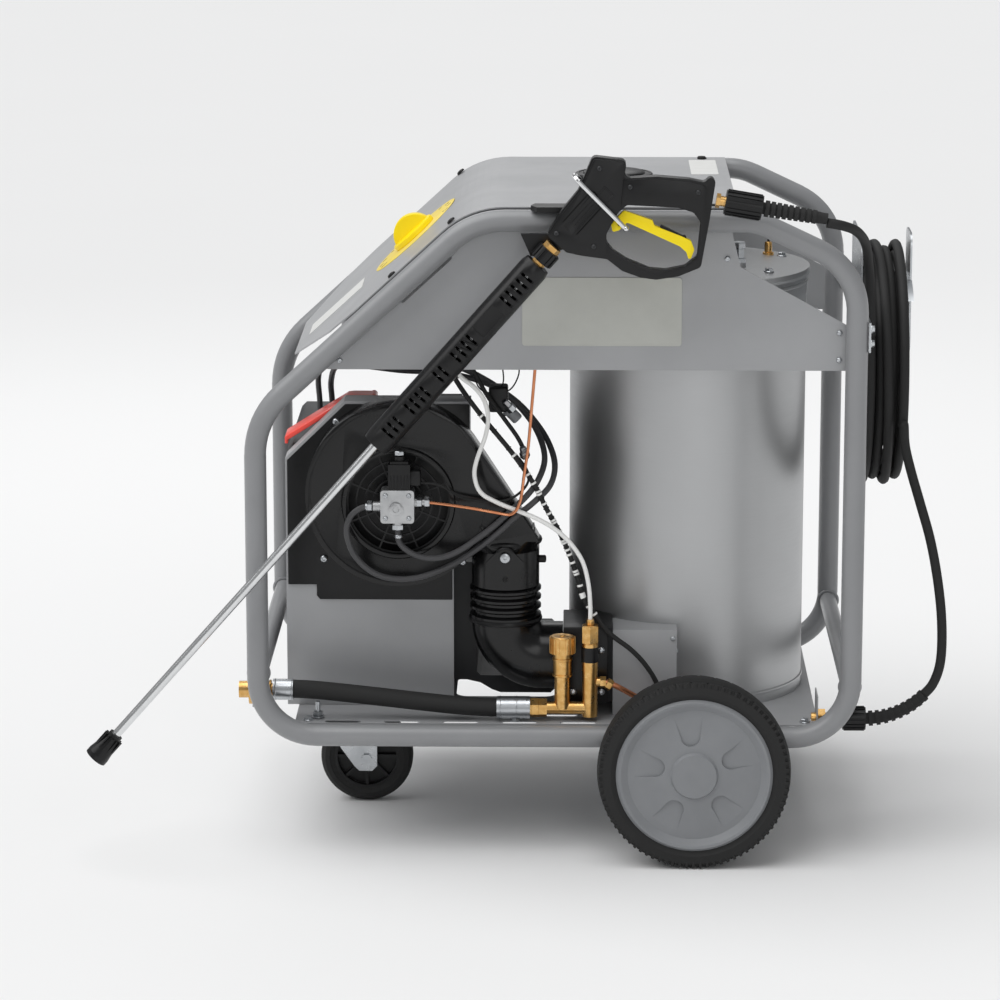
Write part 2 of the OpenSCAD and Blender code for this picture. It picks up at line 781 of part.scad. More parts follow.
// Scroll housing with a hood that turns its flat outlet into the round neck of the duct
module blower_volute() {
    lip = 8;
    neck_front = duct_y - duct_d / 2;
    color(plastic_black) at_origin() difference() {
        union() {
            upright(volute_front, volute_depth) volute_outline();
            hull() {
                translate([duct_x, duct_y, neck_z]) cylinder(h = 8, d = duct_d, $fn = 48);
                translate([duct_x - duct_d / 2, volute_front, outlet_low + 12])
                    cube([duct_d - 8, volute_depth, 6]);
            }
            // Bell mouth round the intake
            translate([fan_x, volute_front, fan_z]) rotate([90, 0, 0])
                cylinder(h = 3, r1 = intake_r + 5, r2 = intake_r + 3);
            // Ridge along the flank
            translate([0, neck_front - 1, 0]) rotate([90, 0, 0]) mirror([0, 0, 1]) linear_extrude(6)
                polygon([[-118, 510], [-112, 510], [-104, 492], [-88, 489], [-88, 486], [-108, 488]]);
        }
        translate([fan_x, volute_front - 4, fan_z]) rotate([-90, 0, 0])
            cylinder(h = volute_depth - 3, r = intake_r - 3);
        translate([fan_x, volute_front + 12, fan_z]) rotate([-90, 0, 0])
            cylinder(h = volute_depth - 16, r = volute_r - 22);
        translate([fan_x, volute_front - 1, scroll_mid.y]) rotate([-90, 0, 0]) difference() {
            cylinder(h = 4, r = volute_r - lip);
            translate([0, 12, -1]) cylinder(h = 10, r = intake_r + 5);
        }
        rod_y(fan_x, volute_front + 10, fan_z, 44, volute_depth);
        rod_z(duct_x, duct_y, neck_z - 1, duct_d - 16, 9);
    }
}

// Guard of the intake: rings on radial ribs
module intake_grille() {
    r = intake_r - 3 - 0.3;
    color(plastic_black) at_origin() translate([fan_x, volute_front + 6, fan_z]) rotate([90, 0, 0]) union() {
        for (ring = [r, r * 0.83, r * 0.66, r * 0.5]) difference() {
            cylinder(h = 4, r = ring, center = true);
            cylinder(h = 5, r = ring - 2.4, center = true);
        }
        for (i = [0:7]) rotate([0, 0, i * 45 + 22.5]) translate([(r + 30) / 2, 0, 0])
            cube([r - 32, 2.4, 4], center = true);
        difference() {
            cylinder(h = 4, r = 33, center = true);
            cylinder(h = 5, r = 12, center = true);
        }
    }
}

// Fan wheel with its shaft
module blower_fan() {
    r = volute_r - 30;
    y0 = volute_front + 24;
    depth = volute_depth - 34;
    color(zinc_tone) at_origin() translate([fan_x, y0, fan_z]) rotate([-90, 0, 0]) union() {
        translate([0, 0, depth - 2]) cylinder(h = 3, r = r);
        for (i = [0:blade_n - 1]) rotate([0, 0, i * 360 / blade_n]) translate([r - 14, 0, 0])
            rotate([0, 0, 35]) translate([-9, -1, 0]) cube([18, 2, depth]);
        difference() {
            cylinder(h = 3, r = r - 1);
            translate([0, 0, -1]) cylinder(h = 5, r = r - 20);
        }
        cylinder(h = depth, d = 34);
        translate([0, 0, depth - 2]) cylinder(h = 80, d = 19);
    }
}

// Duct with bellows; its collar carries the damper's plate
module air_duct() {
    r = duct_d / 2;
    pitch = (bellow_top - elbow_top) / bellow_n;
    color(plastic_black) at_origin() difference() {
        union() {
            rod_z(duct_x, duct_y, bellow_top - eps, duct_d, neck_z - seam - bellow_top);
            translate([duct_x, duct_y, elbow_top]) rotate_extrude() polygon(concat(
                [[0, 0]],
                [for (i = [0:bellow_n - 1]) each [
                    [r - 3, i * pitch], [r - 3, (i + 0.2) * pitch], [r + 3, (i + 0.45) * pitch],
                    [r + 3, (i + 0.7) * pitch], [r - 3, (i + 0.95) * pitch]]],
                [[r - 3, bellow_top - elbow_top], [0, bellow_top - elbow_top]]));
            translate([duct_x, duct_y - r - seam, 451]) rotate([90, 45, 0])
                linear_extrude(5) rounded_rect([46, 46], 6);
            rod_y(duct_x, duct_y - r - 2, 441, 34, 12);
        }
        rod_z(duct_x, duct_y, elbow_top - 1, duct_d - 2 * duct_wall, 200);
    }
}

module elbow_bend(d) {
    translate([duct_x + elbow_r, duct_y, elbow_top - seam]) rotate([90, 0, 0])
        rotate([0, 0, 180]) rotate_extrude(angle = 90) translate([elbow_r, 0]) circle(d = d);
}

module duct_elbow() {
    color(plastic_black) at_origin() difference() {
        union() {
            elbow_bend(duct_d - thinned);
            rod_x(duct_x + elbow_r - lap, duct_y, elbow_z - seam, duct_d,
                14 - seam - duct_x - elbow_r + lap);
        }
        elbow_bend(duct_d - 2 * duct_wall - thinned);
        rod_x(duct_x + elbow_r - lap, duct_y, elbow_z - seam, duct_d - 2 * duct_wall, 80);
        rod_z(duct_x, duct_y, elbow_top - seam - lap, duct_d - 2 * duct_wall, 2);
    }
}

// ---- Drive, pump and fuel ----

motor_y = board_y + sheet_t;
motor_d = 168;
motor_len = 232;

module drive_motor() {
    color(plastic_black) at_origin() union() {
        difference() {
            rod_y(fan_x, motor_y, fan_z, motor_d, motor_len);
            rod_y(fan_x, motor_y - 1, fan_z, 20, 92);
            for (i = [0:23]) translate([fan_x, motor_y + 20, fan_z]) rotate([-90, i * 15, 0])
                translate([motor_d / 2, 0, (motor_len - 40) / 2])
                cube([12, 5, motor_len - 60], center = true);
        }
        translate([fan_x + 20, motor_y + 60, fan_z + 70]) cube([74, 90, 62]);
    }
}

module high_pressure_pump() {
    y0 = motor_y + motor_len;
    color("#a9abad") at_origin() difference() {
        union() {
            rod_y(fan_x, y0, fan_z, 150, 16);
            rod_y(fan_x, y0 + 16, fan_z, 118, 66);
            translate([fan_x - 46, y0 + 82, fan_z - 62]) cube([92, 46, 118]);
            for (i = [-1:1]) rod_x(fan_x - 54, y0 + 105, fan_z + i * 34, 30, 108);
        }
        rod_x(fan_x - 60, y0 + 105, fan_z - 34, 16, 24);
    }
}

pump_front = -274;
pump_size = 52;
module fuel_pump() {
    neck_y = volute_front + 4;
    half = pump_size / 2;
    color("#c4c6c8") at_origin() difference() {
        union() {
            upright(pump_front, 34) translate([fan_x, fan_z + 3]) rounded_rect([pump_size, pump_size], 5);
            rod_y(fan_x, pump_front + 34 - eps, fan_z, 42, neck_y - pump_front - 34 + eps);
            rod_y(fan_x - 2, pump_front - 3, fan_z - 3, 24, 4);
            rod_x(fan_x - half - 12, -260, fan_z + 1, 16, 13);
            rod_x(fan_x + half - 1, -257, fan_z + 7, 16, 10);
            rod_x(fan_x + half + 8, -257, fan_z + 7, 11, 11);
            rod_z(fan_x, -257, fan_z + 3 - half - 13, 15, 14);
        }
        rod_y(fan_x, neck_y - 10, fan_z, 20, 20);
        for (i = [-1, 1], j = [-1, 1])
            rod_y(fan_x + i * (half - 8), pump_front - 1, fan_z + 3 + j * (half - 8), 6, 5);
    }
}

module solenoid_coil() {
    base = fan_z + 3 + pump_size / 2;
    color(plastic_black) at_origin() union() {
        translate([fan_x - 14, -272, base]) cube([34, 32, 40]);
        translate([fan_x - 11, -269, base + 40 - eps]) cube([28, 26, 4]);
        rod_z(fan_x + 3, -256, base + 43, 16, 8);
    }
}

// Tank under the motor, with a sump beside the duct and a neck behind the blower's plate
tank_y = board_y + 54;
filler_at = [-384, tank_y + 30];
module fuel_tank() {
    depth = 372;
    color("#2b2b2d") at_origin() difference() {
        union() {
            upright(tank_y, depth) polygon([
                [-424, 241], [-416, 233], [-140, 233], [-118, 228], [-100, 217], [-86, 212], [-6, 212],
                [0, 218], [0, 234], [-6, 240], [-118, 240], [-124, 246], [-124, 420], [-130, 426],
                [-334, 426], [-342, 434], [-342, 600], [-350, 612], [-416, 612], [-424, 604]
            ]);
            translate([-400, tank_y + 10, tray_z + seam]) cube([60, depth - 20, 30]);
            translate([-60, tank_y + 220, tray_z + seam]) cube([40, 140, 10]);
        }
        for (i = [0:3]) translate([-440, tank_y + 60 + i * 84, 270]) cube([24, 10, 130]);
        rod_z(filler_at.x, filler_at.y, 560, 44, 80);
    }
}

// Red hinged flap over the filler neck, with its eye on the bracket's pin
flap_pin = [-288, 686];
flap_pin_d = 6;
flap_depth = 62;
module fuel_flap() {
    color(signal_red) at_origin() difference() {
        union() {
            rod_y(flap_pin.x, tank_y - 1, flap_pin.y, 2 * flap_pin_d, flap_depth);
            upright(tank_y - 1, flap_depth) polygon([
                [-427, 617], [-427, 628], [-328, 690], [-320, 691], [-290, 691], [-290, 685],
                [-318, 685], [-325, 684], [-422, 623], [-422, 617]
            ]);
        }
        rod_y(flap_pin.x, tank_y - 2, flap_pin.y, flap_pin_d + 2 * fit, flap_depth + 2);
    }
}

// ---- Water side ----

mani_y = -258;
mani_z = 226;

module water_inlet() {
    color(brass_tone) at_origin() difference() {
        union() {
            rod_x(thread_x, water_y, inlet_z, thread_d, flange_x - thread_x);
            rod_x(flange_x - 6, water_y, inlet_z, 46, 6);
            rod_x(flange_x - eps, water_y, inlet_z, neck_d, -440 - flange_x);
            translate([flange_x + 4 + 2 * seam, water_y, inlet_z]) rotate([0, 90, 0])
                cylinder(h = 9, d = 34, $fn = 6);
        }
        rod_x(thread_x - 1, water_y, inlet_z, 17, 30);
    }
}

// Centre line of the inlet hose
inlet_route = [
    [-408, -252, 253], [-370, -252, 251], [-290, -253, 243], [-205, -255, 234],
    [-140, -257, 228], [-92, -258, 226], [-90, -258, 226]
];
module inlet_hose() {
    color(rubber_black) at_origin() swept(smooth(inlet_route, 2), 29, 12, [0, 0, 1]);
}

module hose_ferrules() {
    color(zinc_tone) at_origin() {
        difference() {
            rod_x(-440, water_y, inlet_z, 33, 32 - seam);
            rod_x(-441, water_y, inlet_z, neck_d + eps, 34);
        }
        rod_x(-90 + seam, mani_y, mani_z, 36, 52);
    }
}

valve_x = 13;
sensor_x = 56;
module brass_manifold() {
    color(brass_tone) at_origin() union() {
        translate([-38 + seam + 0.4, mani_y, mani_z]) rotate([0, 90, 0]) cylinder(h = 26, d = 30, $fn = 6);
        rod_x(-20, mani_y, mani_z, 20, sensor_x + 20);
        rod_z(valve_x, mani_y, mani_z, 25, 52);
        rod_z(sensor_x, mani_y, mani_z - 13, 24, 73);
        rod_x(sensor_x, mani_y, 268, 15, 20);
        translate([sensor_x + 16, mani_y, 268]) rotate([0, 90, 0]) cylinder(h = 9, d = 18, $fn = 6);
    }
}

module safety_valve() {
    base = mani_z + 52;
    color(brass_tone) at_origin() union() {
        rod_z(valve_x, mani_y, base, 29, 38);
        rod_z(valve_x, mani_y, base + 37, 38, 26);
        for (i = [0:19]) translate([valve_x, mani_y, base + 37]) rotate([0, 0, i * 18])
            translate([18.5, -1.2, 0]) cube([1.6, 2.4, 25]);
    }
}

module flow_sensor() {
    base = mani_z + 60;
    color(plastic_black) at_origin() union() {
        rod_z(sensor_x, mani_y, base, 25, 44);
        rod_z(sensor_x, mani_y, base + 44 - eps, 24, 30);
        rod_z(sensor_x, mani_y, base + 73, 12, 10);
    }
}

// Copper pipes: burner oil from the pump, and water to the boiler
oil_pipe_route = [
    [-198, -257, 554], [-176, -258, 552], [-130, -261, 546], [-84, -262, 538], [-70, -262, 536],
    [-61, -262, 541], [-55, -262, 552], [-51, -261, 568], [-47, -260, 600], [-41, -258, 642],
    [-36, -256, 700], [-31, -255, 760], [-28, -255, 800]
];
water_pipe_route = [
    [81, -258, 268], [92, -258, 264], [110, -256, 254], [128, -252, 243], [150, -246, 231],
    [175, -240, 222], [198, -235, 216], [216, -222, 213], [226, -205, 212], [228, -187.6, 212]
];
module copper_pipes() {
    color(copper_tone) at_origin() {
        swept(smooth(oil_pipe_route, 1), 5, 8, [0, 1, 0]);
        swept(smooth(water_pipe_route, 1), 9, 8, [0, 1, 0]);
    }
}

// Fuel hoses, from the pump round the duct and over the blower to the tank
feed_route = [
    [-282, -260, 548], [-300, -260, 545], [-315, -260, 533], [-322, -259, 514], [-320, -258, 493],
    [-311, -256, 470], [-294, -254, 450], [-272, -252, 436], [-243, -250, 430], [-213, -248, 432],
    [-184, -246, 441], [-154, -244, 455], [-122, -243, 476], [-90, -243, 501], [-63, -243, 526],
    [-32, -243, 552], [-8, -228, 574], [0, -195, 596], [-6, -155, 618], [-24, -122, 645], [-58, -100, 680],
    [-100, -90, 706], [-150, -90, 722], [-200, -90, 728], [-245, -88, 730], [-300, -75, 734],
    [-345, -40, 730], [-362, 40, 690], [-362, 60, 650], [-362, 62, 612]
];
return_route = [
    [-243, -257, 510], [-241, -257, 491], [-228, -257, 477], [-210, -257, 468], [-190, -257, 465],
    [-169, -257, 468], [-146, -255, 478], [-120, -250, 495], [-92, -245, 516], [-69, -243, 537],
    [-44, -243, 561], [-26, -232, 584], [-16, -196, 608], [-22, -156, 632], [-40, -126, 660],
    [-72, -110, 692], [-106, -104, 716], [-152, -104, 738], [-200, -104, 744], [-245, -102, 746],
    [-300, -90, 750],
    [-358, -40, 744], [-382, 40, 700], [-382, 60, 650], [-382, 62, 612]
];
module fuel_hoses() {
    color(rubber_black) at_origin() {
        swept(smooth(feed_route, 1), 9.5, 8, [0, 1, 0]);
        swept(smooth(return_route, 1), 9.5, 8, [0, 1, 0]);
    }
}

white_route = [
    [-168, -245, 800], [-159, -245, 780], [-147, -245, 752], [-126, -246, 735], [-110, -247, 715],
    [-103, -248, 688], [-107, -250, 658], [-120, -252, 622], [-124, -253, 596], [-115, -254, 570],
    [-90, -254, 554], [-56, -254, 540], [-25, -254, 527], [3, -255, 510], [26, -256, 488],
    [44, -257, 460], [53, -258, 425], [56, -258, 390], [56, -258, 369]
];
module white_hose() {
    color("#e6e6e2") at_origin() swept(smooth(white_route, 1), 7, 8, [0, 1, 0]);
}

conduit_route = [
    [-178, -222, 790], [-152, -222, 738], [-116, -236, 690], [-67, -247, 632], [-33, -252, 584],
    [-13, -246, 543], [7, -241, 505], [23, -239, 468], [38, -240, 425], [46, -242, 398],
    [64, -244, 372], [78, -246, 352], [95, -246, 336], [119, -246, 318], [140, -246, 296],
    [157, -244, 270], [164, -240, 250], [166, -232, 240], [166, -225.5, 240]
];
// Thin cable of the solenoid, in a loose bow before it joins the conduit
coil_cable_route = [
    [-219, -256, 585], [-205, -257, 585], [-180, -256, 582], [-160, -252, 570], [-140, -246, 558],
    [-100, -240, 552], [-70, -240, 556], [-48, -240, 572], [-40, -240, 590], [-46, -240, 608],
    [-60, -239, 626]
];
module cable_conduit() {
    color(rubber_black) at_origin() {
        swept(smooth(conduit_route, 1), 8, 8, [0, 1, 0]);
        swept(smooth(coil_cable_route, 1), 4, 8, [0, 1, 0]);
    }
}

// ---- Hose rack and high pressure hose ----

outlet_y = -243;
outlet_z = 207;
nipple_d = 18;
loop_mid_z = 730;
nest = loop_pitch;

// Loops hang side by side; each column spirals in or out and steps over in half a turn
coil_start = 160;
coil_over = 35 / 360;
function ramp(t) = min(1, max(0, t));
function spiral_in(u) = nest * (2 - abs((min(u, hose_loops) % 4) - 2));
function steps_over(u) = ramp((u - 2) * 2 + 0.5) + ramp((u - 4) * 2 + 0.5) + ramp((u - 6) * 2 + 0.5);
function column_x(u) = loop_x + loop_pitch * steps_over(u);
function loop_at(u) = let (a = coil_start + 360 * u, s = spiral_in(u)) [
    column_x(u), (loop_wide / 2 - s) * cos(a), loop_mid_z + (loop_high / 2 - s) * sin(a)];
coil_steps = 24;
coil_turns_all = hose_loops + coil_over;
coil_n = round(coil_turns_all * coil_steps);
coil_core = [for (i = [0:coil_n]) loop_at(coil_turns_all * i / coil_n)];
coil_in_dir = unit([0, -sin(coil_start) * loop_wide, cos(coil_start) * loop_high]);
coil_out_dir = let (a = coil_start + 360 * coil_over) unit([0, -sin(a) * loop_wide, cos(a) * loop_high]);
coil_path = concat(
    [coil_core[0] - coil_in_dir * hose_d], coil_core, [coil_core[coil_n] + coil_out_dir * hose_d]);

gun_hose_route = [
    [408, -349, 1006], [432, -344, 1001], [455, -315, 988], [472, -265, 962], [481, -215, 922],
    [486, -195, 880], [488, -194, 845], [488, -200, 812]
];
outlet_hose_route = [
    [579, -243, 247], [592, -243, 263], [602, -243, 292], [605, -240, 330], [603, -234, 380],
    [596, -224, 435], [585, -214, 490], [569, -206, 545], [554, -203, 595], [544, -205, 635],
    [541, -210, 668]
];

function sum(list) = list * [for (i = list) 1];
function path_length(p) = sum([for (i = [1:len(p) - 1]) norm(p[i] - p[i - 1])]);
function least(list) = min(list);
coil_gap = least([for (i = [0:len(coil_core) - 1], j = [i + 14:max(i + 14, len(coil_core) - 1)])
    j < len(coil_core) ? norm(coil_core[i] - coil_core[j]) : 1000]) - hose_d;
echo(hose_gap = coil_gap);
echo(hose_length = path_length(coil_path) + path_length(gun_hose_route) + path_length(outlet_hose_route));
echo(coil_first = coil_path[0], coil_last = coil_path[len(coil_path) - 1]);
echo(origin_x = origin_x);

module hose_coil() {
    color(rubber_black) at_origin() swept(coil_path, hose_d, 6, [1, 0, 0]);
}

module hose_to_gun() {
    route = concat(gun_hose_route, [coil_path[0]]);
    color(rubber_black) at_origin() swept(smooth(route, 2), hose_d, 8, [0, 1, 0]);
}

module hose_to_outlet() {
    route = concat([coil_path[len(coil_path) - 1]], reversed(outlet_hose_route));
    color(rubber_black) at_origin() swept(smooth(route, 2), hose_d, 8, [1, 0, 0]);
}

// Rack of sheet: a bar across the posts, a saddle under the loops and a lip past them
module hose_rack() {
    t = 3;
    bar_x = rack_plate_x + seam;
    bar_z = 800;
    bar_h = 46;
    bar_over = 10;
    lip_x = rack_end_x - t;
    saddle_r = loop_wide / 2 - 2 * nest - hose_d / 2 - 6;
    saddle_drop = loop_high / 2 - 2 * nest - hose_d / 2 - saddle_r - 3;
    color(zinc_tone) at_origin() union() {
        translate([bar_x, -rail_y - bar_over, bar_z]) cube([t, 2 * (rail_y + bar_over), bar_h]);
        translate([bar_x, 0, 0]) rotate([90, 0, 90]) linear_extrude(t)
            translate([0, 872]) rounded_rect([210, 146], 24);
        translate([bar_x, 0, loop_mid_z + saddle_drop]) rotate([0, 90, 0]) difference() {
            cylinder(h = lip_x - bar_x + t, r = saddle_r);
            translate([0, 0, -1]) cylinder(h = 200, r = saddle_r - t);
            translate([-saddle_r * 0.8, -saddle_r - 1, -1]) cube([3 * saddle_r, 2 * saddle_r + 2, 200]);
        }
        translate([lip_x, 0, 0]) rotate([90, 0, 90]) linear_extrude(t)
            translate([0, 847]) rounded_rect([90, 192], 20);
    }
}

// Brass nipples of the outlet and of the gun
gun_tail = [241, 1040];
tail_a = -9.5;
tail_dir = [cos(tail_a), sin(tail_a)];
module hose_nipples() {
    color(brass_tone) at_origin() {
        difference() {
            union() {
                rod_x(403, outlet_y, outlet_z, nipple_d, 49);
                translate([412 + seam, outlet_y, outlet_z]) rotate([0, 90, 0])
                    cylinder(h = 12, d = 30, $fn = 6);
            }
            rod_x(400, outlet_y, outlet_z, 8, 60);
        }
        along_tail(0) union() {
            cylinder(h = 6, d = 22, $fn = 6);
            cylinder(h = 14, d = 16);
        }
    }
}

module along_tail(s) {
    at = gun_tail + tail_dir * s;
    translate([at.x, gun_y, at.y]) rotate([0, 90 - tail_a, 0]) children();
}

module union_nut(d, h, bore) {
    difference() {
        union() {
            cylinder(h = h, d = d);
            for (i = [0:15]) rotate([0, 0, i * 22.5]) translate([d / 2 - 0.5, -1.6, 2])
                cube([2, 3.2, h - 4]);
        }
        translate([0, 0, -1]) cylinder(h = 12, d = bore);
    }
}

module hose_nuts() {
    color(plastic_black) at_origin() {
        translate([452, outlet_y, outlet_z]) rotate([0, 90, 0]) union_nut(36, 36 - seam, 10);
        along_tail(14) union_nut(37, 56, 10);
    }
}

boot_r = 124;
boot_a = 47;
module hose_boots() {
    rib_n = 9;
    color(rubber_black) at_origin() {
        translate([488, outlet_y, outlet_z + boot_r]) rotate([90, 0, 0]) rotate([0, 0, -90]) union() {
            rotate_extrude(angle = boot_a) translate([boot_r, 0]) circle(d = 18);
            for (i = [0:rib_n - 1]) rotate([0, 0, (i + 0.7) * boot_a / rib_n]) translate([boot_r, 0, 0])
                rotate([90, 0, 0]) cylinder(h = 6, d = 24 - i * 0.5, center = true);
        }
        along_tail(70 + seam) union() {
            cylinder(h = 88, d = 18);
            for (i = [0:rib_n - 1]) translate([0, 0, 4 + i * 9]) cylinder(h = 6, d = 25 - i * 0.5);
            translate([0, 0, 84]) cylinder(h = 15, d = 17);
        }
    }
}

// ---- Gun and lance ----

// Outline with every corner rounded by r
function rounded(points, r, n = 3) = [
    for (i = [0:len(points) - 1]) let (
            p = points[(i + len(points) - 1) % len(points)], q = points[i],
            s = points[(i + 1) % len(points)],
            turn = max(0.5, turn_at(p, q, s)),
            t = min(r * tan(turn / 2), 0.45 * min(norm(q - p), norm(s - q))),
            rad = t / tan(turn / 2), a = unit(p - q), b = unit(s - q),
            centre = q + unit(a + b) * rad / cos(turn / 2), start = q + a * t - centre,
            from_a = atan2(start.y, start.x), way = side_at(p, q, s))
        each [for (k = [0:n]) let (a = from_a + way * turn * k / n) centre + rad * [cos(a), sin(a)]]];

gun_outline = [
    [56, 1107], [107, 1101], [103, 1074], [151, 1077], [200, 1073], [224, 1068], [231, 1077], [240, 1071],
    [231, 1010], [219, 940], [185, 926], [152, 921], [129, 924], [101, 934], [78, 952], [40, 957],
    [17, 962], [-13, 988], [9, 1024], [34, 1055]
];
guard_outline = [
    [107, 1034], [184, 1030], [207, 1023], [218, 1008], [213, 955], [195, 941], [166, 935], [142, 937],
    [108, 951], [88, 964], [77, 977], [77, 991], [92, 1020]
];
trigger_pin = [96, 1004];
lock_pin = [193, 983];
trigger_t = 14;
lock_t = 8;

module gun_body() {
    color(plastic_black) at_origin() difference() {
        union() {
            upright(gun_y - 12, 24) polygon(rounded(gun_outline, 8));
            upright(gun_y - gun_t / 2, gun_t) difference() {
                polygon(rounded([[58, 1104], [104, 1099], [97, 1027], [88, 1010], [74, 955], [40, 960],
                    [17, 965], [-9, 989], [12, 1024], [37, 1055]], 6));
            }
            upright(gun_y - 16, 32) polygon(rounded([[98, 1072], [151, 1074], [200, 1070], [226, 1064],
                [222, 1026], [207, 1026], [184, 1033], [98, 1036]], 8));
        }
        upright(gun_y - gun_t, 2 * gun_t) polygon(rounded(guard_outline, 9));
        translate([68, gun_y - trigger_t / 2 - 0.5, 972]) cube([44, trigger_t + 1, 66]);
        for (side = [-1, 1]) translate([0, gun_y + side * gun_t / 2, 0])
            upright(-1, 2) polygon([[14, 1003], [26, 988], [72, 1040], [58, 1056]]);
        // Pocket of the lock's toe
        upright(gun_y - lock_t / 2 - 0.5, lock_t + 1)
            polygon([[152, 1000], [152, 1047], [208, 1047], [208, 1000]]);
    }
    color(plastic_black) at_origin()
        rod_y(trigger_pin.x, gun_y - trigger_t / 2 - 1, trigger_pin.y, 5, trigger_t + 2);
}

module trigger() {
    color(signal_yellow) at_origin() difference() {
        upright(gun_y - trigger_t / 2, trigger_t) polygon(rounded([
            [84, 1004], [103, 1025], [146, 1010], [149, 1002], [190, 986], [204, 979], [209, 966],
            [204, 952], [200, 952], [197, 962], [187, 971], [146, 989], [108, 1007], [96, 995], [86, 992]
        ], 3));
        rod_y(trigger_pin.x, gun_y - trigger_t, trigger_pin.y, 5 + 2 * fit, 2 * trigger_t);
        upright(gun_y - lock_t / 2 - 0.4, lock_t + 0.8) union() {
            translate(lock_pin) circle(d = 11);
            polygon([[152, 1012], [152, 994], [lock_pin.x + 1, lock_pin.y - 6.5], [lock_pin.x + 1, 1000]]);
        }
    }
    color(signal_yellow) at_origin() rod_y(lock_pin.x, gun_y - lock_t / 2 - 1, lock_pin.y, 3, lock_t + 2);
}

module trigger_lock() {
    color(plastic_black) at_origin() difference() {
        union() {
            rod_y(lock_pin.x, gun_y - lock_t / 2, lock_pin.y, 8.4, lock_t);
            upright(gun_y - lock_t / 2, lock_t)
                polygon([[157, 1001], [159, 1003], [193, 986], [190, 981], [158, 997]]);
        }
        rod_y(lock_pin.x, gun_y - lock_t, lock_pin.y, 3 + 2 * fit, 2 * lock_t);
    }
}

module on_lance(s) {
    at = muzzle + lance_dir * s;
    translate([at.x, gun_y, at.y]) rotate([0, -90 - lance_a, 0]) children();
}

// Brass tail of the lance in the gun, with its union nut
module lance_nut() {
    color(plastic_black) at_origin() on_lance(0) union() {
        translate([0, 0, 2]) cylinder(h = 8, d = 24, $fn = 6);
        cylinder(h = nut_len - seam, d = 14);
        translate([0, 0, 10]) cylinder(h = 22, d = 34);
        for (i = [0:11]) rotate([0, 0, i * 30]) translate([16.5, -2, 11]) cube([2, 4, 20]);
    }
}

module lance_handle() {
    rows = [24, 36, 48, 60, 72, 150, 162, 174, 186, 214, 226, 256, 268, 280, 292, 318, 330, 342];
    r = grip_d / 2;
    color(plastic_black) at_origin() on_lance(nut_len) difference() {
        union() {
            cylinder(h = 10, d1 = grip_d - 5, d2 = grip_d);
            translate([0, 0, 10 - eps]) cylinder(h = grip_len - 22, d = grip_d);
            translate([0, 0, grip_len - 12 - eps]) cylinder(h = 12, d1 = grip_d, d2 = grip_d - 3);
        }
        translate([0, 0, 18]) cylinder(h = grip_len, d = grip_d - 8);
        for (z = rows, a = [90, 270]) rotate([0, 0, a]) translate([r, 0, z])
            cube([14, 26, 4.5], center = true);
        for (a = [0, 180]) rotate([0, 0, a + 90]) translate([r, 0, 112]) cube([8, 24, 46], center = true);
    }
}

module lance_tube() {
    color(steel_tone) at_origin() on_lance(nut_len + 20) union() {
        cylinder(h = grip_len - 20 + lance_len - seam, d = lance_d);
        difference() {
            translate([0, 0, grip_len - 34]) cylinder(h = 10, d = grip_d - 8 - 2 * seam);
            cylinder(h = grip_len, d = lance_d - eps);
        }
    }
}

module lance_nozzle() {
    color(plastic_black) at_origin() on_lance(nut_len + grip_len + lance_len) difference() {
        union() {
            cylinder(h = 6, d = 22);
            translate([0, 0, 6 - eps]) cylinder(h = nozzle_len - 14, d1 = 24, d2 = nozzle_d);
            translate([0, 0, nozzle_len - 8 - 2 * eps]) cylinder(h = 8, d = nozzle_d);
            for (i = [0:11]) rotate([0, 0, i * 30]) translate([10, -1.2, 6]) cube([6, 2.4, nozzle_len - 12]);
        }
        translate([0, 0, nozzle_len - 18]) cylinder(h = 20, d = 12);
    }
}

// Clamp on the rail, with a tongue on top, a cradle under the muzzle and an arm up to the wire
wire_route = [
    [50, -325, 1058], [38, -325, 1067], [31, -336, 1074], [29, -350, 1077], [29, -363, 1077],
    [33, -371, 1073], [44, -373, 1062], [106, -373, 1000]
];
wire_d = 7.5;
module gun_holder() {
    back_y = gun_y + gun_t / 2 + 3;
    edge_y = -cover_y - 1.5;
    color(plastic_black) at_origin() difference() {
        union() {
            translate([12, back_y, top_z - 15]) cube([60, edge_y - back_y, tube_r + 23]);
            translate([0, 0, top_z + tube_r + seam]) linear_extrude(8) polygon([
                [-37, -rail_y - 12], [-31, edge_y], [20, edge_y], [20, back_y], [-28, back_y]
            ]);
            upright(back_y, 10) polygon([
                [-52, 984.5], [11, 984.5], [13, 990], [72, 990], [72, 968], [24, 966], [-14, 952], [-37, 951]
            ]);
            upright(back_y, 6) polygon([
                [16, 1020], [72, 1020], [84, 1048], [84, 1070], [78, 1075], [48, 1075], [38, 1058]
            ]);
        }
        translate([0, -rail_y, 0]) rotate([90, 0, 0]) straight_at([-200, top_z], [200, top_z], tube_d);
    }
    color(steel_tone) at_origin() union() {
        swept(smooth(wire_route, 2), wire_d, 10, [0, 0, 1]);
        translate(wire_route[len(wire_route) - 1]) sphere(d = wire_d + 1.5);
    }
}

